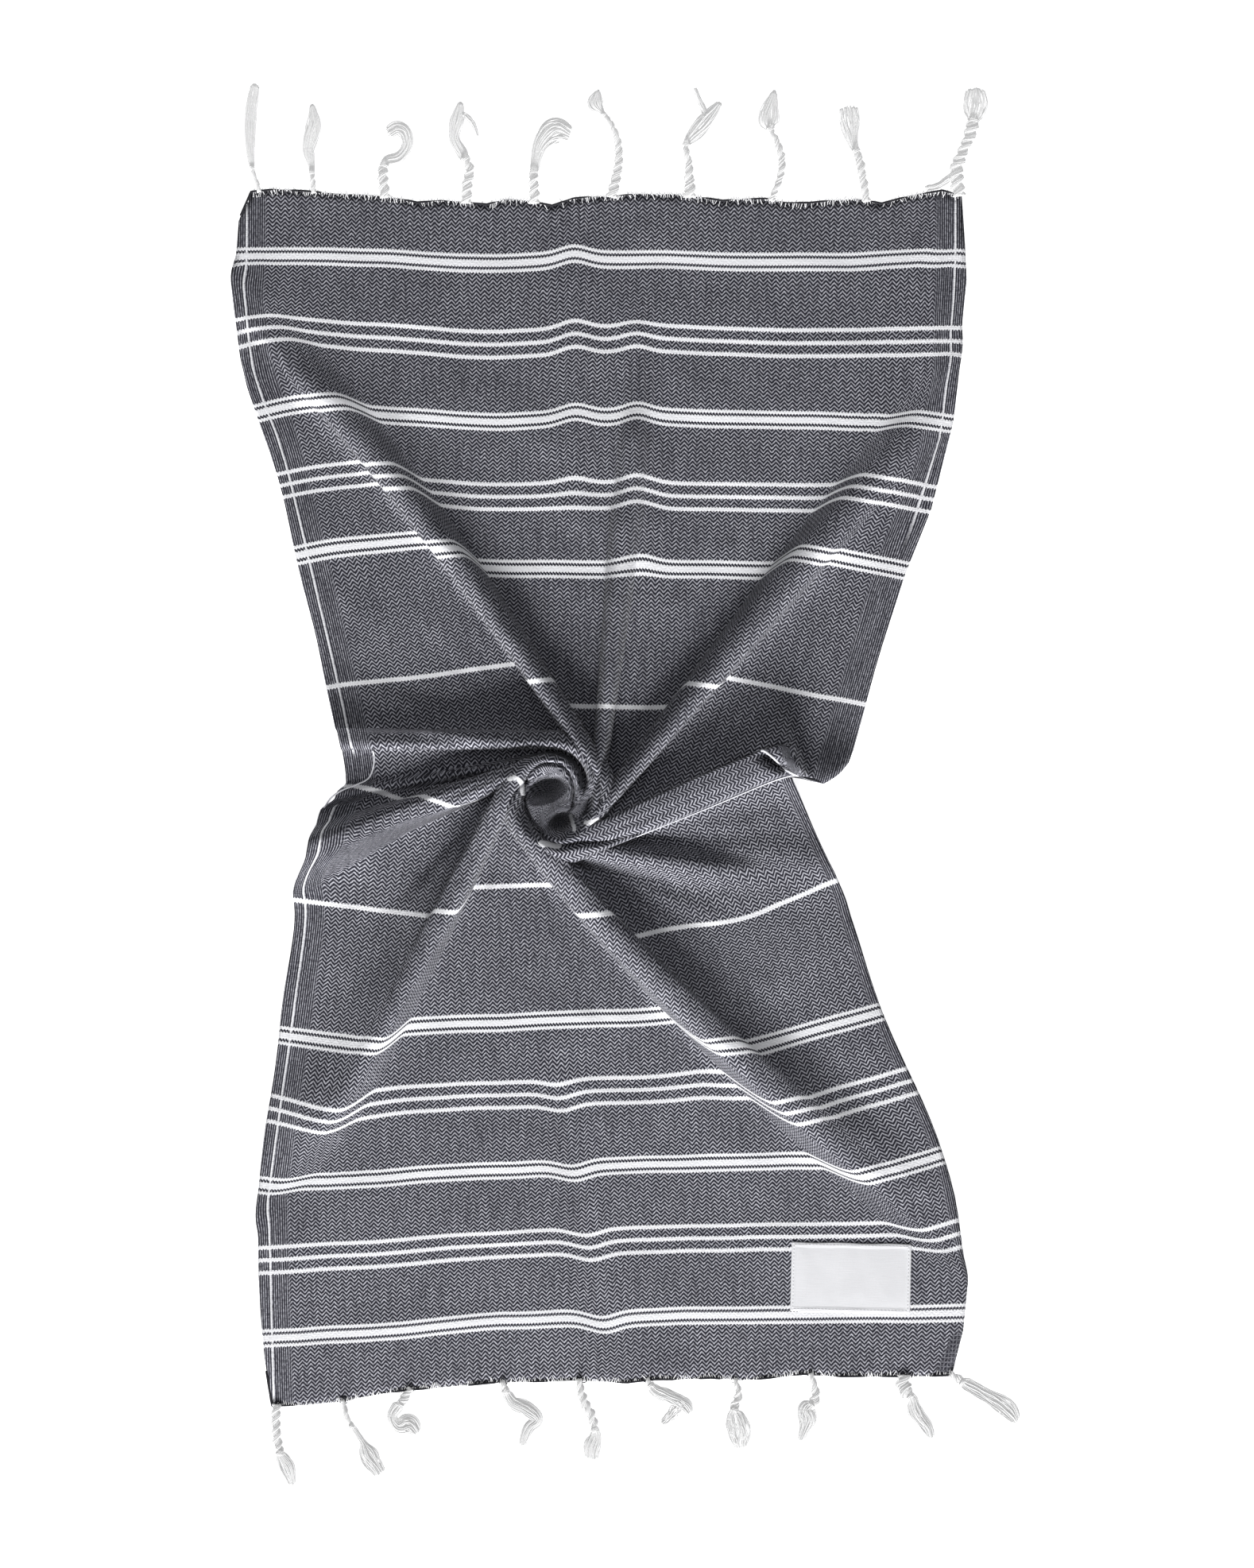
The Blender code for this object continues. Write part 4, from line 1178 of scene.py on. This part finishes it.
rollThreads = [
    # along the roll: how far out, and where across it (-1 its lower foot, 1 its upper foot)
    dict(name="belowRoll", along=(44, 80, 120, 161), side=(-0.70, -0.66, -0.64, -0.66), thick=0.55),
    dict(name="roundMouth", along=(146, 150, 157, 163), side=(0.80, 0.35, -0.30, -0.72), thick=0.95),
]
waistThread = dict(x=(-176.5, -176.2, -177.5, -181, -189, -198, -206, -211),
                   y=(25, 18, 11, 5, 1, -2.5, -8, -15), thick=0.6)


threadYarn = dict(finish="threadCotton", rough=0.85, grain=900.0, relief=0.0002,
                  dark=(0.5, 0.5, 0.54, 1), pale=(0.86, 0.86, 0.9, 1))


def makeThreads():
    # yarns laid on the cloth: two by the right roll, and one round the left waist over the nearest cloth
    parts = []
    for row in rollThreads:
        t = np.linspace(0, 1, 90)
        along = np.interp(t, np.linspace(0, 1, 4), row["along"])
        side = np.interp(t, np.linspace(0, 1, 4), row["side"])
        place, high = foldRays(0, side, along[:, None])[:2]
        z = surfaceHeight(place, high)[:, 0] + cloth["thick"] + 0.25
        path = np.concatenate((place[:, 0], z[:, None]), 1)
        parts.append(tubes(path[None], row["thick"] * (0.9 + 0.1 * np.cos(t * 240.0))[None], 6))
    plan = curveThrough(np.stack((waistThread["x"], waistThread["y"]), -1).astype(float), 60)
    cover = clothMiddle.reshape(-1, 3)
    cover = cover[np.linalg.norm(cover[:, :2] - plan.mean(0), axis=1) < 45]
    near = np.exp(-(np.linalg.norm(plan[:, None] - cover[None, :, :2], axis=2) / 2.0) ** 2)
    z = (cover[:, 2] * near).sum(1) / near.sum(1) + 0.6
    path = np.concatenate((plan, z[:, None]), 1)
    parts.append(tubes(path[None], waistThread["thick"] * np.ones((1, 60)), 6))
    points, faces = joined(parts)
    piece = fillMesh("rollThread", points, faces)
    piece.data.materials.append(yarnMaterial(threadYarn))
    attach(piece, "root")
    return piece


threadPiece = makeThreads()
print("threads", len(threadPiece.data.polygons), "faces")


label = dict(size=(83.5, 48.2), place=(156.0, -342.3), turn=-1.2, thick=0.45, overCloth=0.12,
             hem=0.30, hemWide=2.6, seam=0.22, pillow=0.15, stitchIn=1.7, stitch=2.4, stitchThick=0.24)
stitchYarn = dict(finish="stitchCotton", rough=0.8, grain=1500.0, relief=0.0001,
                  dark=(0.5, 0.5, 0.52, 1), pale=(0.8, 0.8, 0.82, 1))


def clothHeightAt(x, y):
    # the cloth's height at some points: the mean of the nearby vertices, weighed by a bell
    points = clothMiddle.reshape(-1, 3)
    apart = np.abs(points[:, :2] - np.array(label["place"]))
    near = points[(apart[:, 0] < 60) & (apart[:, 1] < 40)]
    gap = (x[..., None] - near[:, 0]) ** 2 + (y[..., None] - near[:, 1]) ** 2
    pull = np.exp(-gap / 300.0)
    return (pull * near[:, 2]).sum(-1) / pull.sum(-1)


def labelPlace(a, b):
    # a, b from -1 to 1 across and up the label
    out, left = compass(label["turn"])
    half = np.array(label["size"]) / 2.0
    wander = 0.25 * np.sin(a * 7 + b * 3)
    spot = np.array(label["place"]) + (a * half[0])[..., None] * out
    spot = spot + (b * half[1] + wander * np.abs(b))[..., None] * left
    return spot[..., 0], spot[..., 1]


def makeLabel():
    # a slab on the cloth, thicker at its turned hem, pressed in along the seam and soft in the middle
    a, b = np.meshgrid(np.linspace(-1, 1, 111), np.linspace(-1, 1, 63), indexing="ij")
    x, y = labelPlace(a, b)
    long, wide = label["size"]
    fromEdge = np.minimum((1 - np.abs(a)) * long, (1 - np.abs(b)) * wide) / 2.0
    hem = label["hem"] * (1.0 - eased((fromEdge - label["hemWide"]) / 0.6)) * eased(fromEdge / 0.4)
    seam = -label["seam"] * np.exp(-((fromEdge - label["stitchIn"]) / 0.5) ** 2)
    pillow = label["pillow"] * eased(fromEdge / 14.0) + 0.05 * waves(x, y, 21, 26.0) * eased(fromEdge / 6.0)
    low = clothHeightAt(x, y) + cloth["thick"] / 2.0 + label["overCloth"]
    top = low + label["thick"] + hem + seam + pillow
    upper = gridFaces(*a.shape, False)
    count = a.size
    index = np.arange(count).reshape(a.shape)
    loop = np.concatenate((index[:, 0], index[-1, 1:], index[-2::-1, -1], index[0, -2:0:-1]))
    after = np.roll(loop, -1)
    side = np.stack((loop, loop + count, after + count, after), -1)
    points = np.concatenate([np.stack((x, y, z), -1).reshape(-1, 3) for z in (top, low)])
    piece = fillMesh("labelTape", points, [upper[:, ::-1], upper + count, side])
    tape = np.stack((a, b), -1).reshape(-1, 2) * np.array(label["size"]) / 2.0
    setUv(piece, np.concatenate((tape, tape)))
    shop = Shop("labelSatin", 0.6, **{"Sheen Weight": 0.2, "Specular IOR Level": 0.4})
    fine = shop.stretch(shop.flatPlace(), (1000.0, 1000.0, 0.0))
    along, across = shop.xy(fine)
    ribs = shop.wave(across, 0.55) * 0.5 + shop.wave(along, 0.45) * 0.5
    tone = shop.noise(shop.stretch(fine, (0.1, 1.8, 1.0)), 1.0, 2.0)
    shade = (tone - 0.5) * 0.16 + ribs * 0.05 + 0.93
    shop.feed("Base Color", shop.blend(shade, (0.3, 0.3, 0.3, 1), (0.70, 0.70, 0.72, 1)))
    shop.feed("Roughness", 0.55 + tone * 0.2)
    shop.bump(ribs + tone * 0.6, 0.00012)
    piece.data.materials.append(shop.material)
    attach(piece, "root")
    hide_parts("label")
    return piece, top


labelPiece, labelTop = makeLabel()
print("label", len(labelPiece.data.polygons), "faces")


def makeStitches():
    # short stitches round the label, one ply each, dipping into the tape at both ends
    half = np.array(label["size"]) / 2.0 - label["stitchIn"]
    runs = []
    for start, end in (((-1, -1), (1, -1)), ((1, -1), (1, 1)), ((1, 1), (-1, 1)), ((-1, 1), (-1, -1))):
        start, end = np.array(start) * half, np.array(end) * half
        count = int(np.linalg.norm(end - start) / label["stitch"])
        step = (end - start) / count
        first = start + step * np.arange(count)[:, None]
        t = np.linspace(0.1, 0.9, 6)[None, :, None]
        runs.append(first[:, None, :] + step * t)
    spots = np.concatenate(runs)
    out, left = compass(label["turn"])
    plan = np.array(label["place"]) + spots[..., :1] * out + spots[..., 1:] * left
    arch = np.sin(np.linspace(0.0, np.pi, 6))[None, :]
    last = np.array(labelTop.shape) - 1
    cell = ((spots / (np.array(label["size"]) / 2.0) + 1.0) / 2.0 * last).round().astype(int)
    cell = np.clip(cell, 0, last)
    z = labelTop[cell[..., 0], cell[..., 1]] - 0.1 + 0.25 * arch
    paths = np.concatenate((plan, z[..., None]), -1)
    thick = label["stitchThick"] * (0.6 + 0.4 * arch) * np.ones((len(spots), 1))
    points, faces = tubes(paths, thick, 6)
    piece = fillMesh("labelStitches", points, faces)
    piece.data.materials.append(yarnMaterial(stitchYarn))
    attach(piece, "root")
    return piece


stitchPiece = makeStitches()
[frayPiece, threadPiece, labelPiece, stitchPiece] + tassels
print("stitches", len(stitchPiece.data.polygons), "faces")


floor = dict(side=6000.0, low=-0.3, glow=0.85)


def makeFloor():
    # one white square under the towel
    side, low = floor["side"], floor["low"]
    points = np.array(((-side, -side, low), (side, -side, low), (side, side, low), (-side, side, low)))
    piece = fillMesh("floor", points, [np.array(((0, 1, 2, 3),))], False)
    shop = Shop("floorPaper", 0.9)
    tone = shop.noise(shop.objectPlace(), 30.0, 3.0)
    shop.glow(shop.blend(tone, (0.93, 0.93, 0.93, 1), (0.96, 0.96, 0.96, 1)), floor["glow"])
    piece.data.materials.append(shop.material)


makeFloor()
print("floor done")
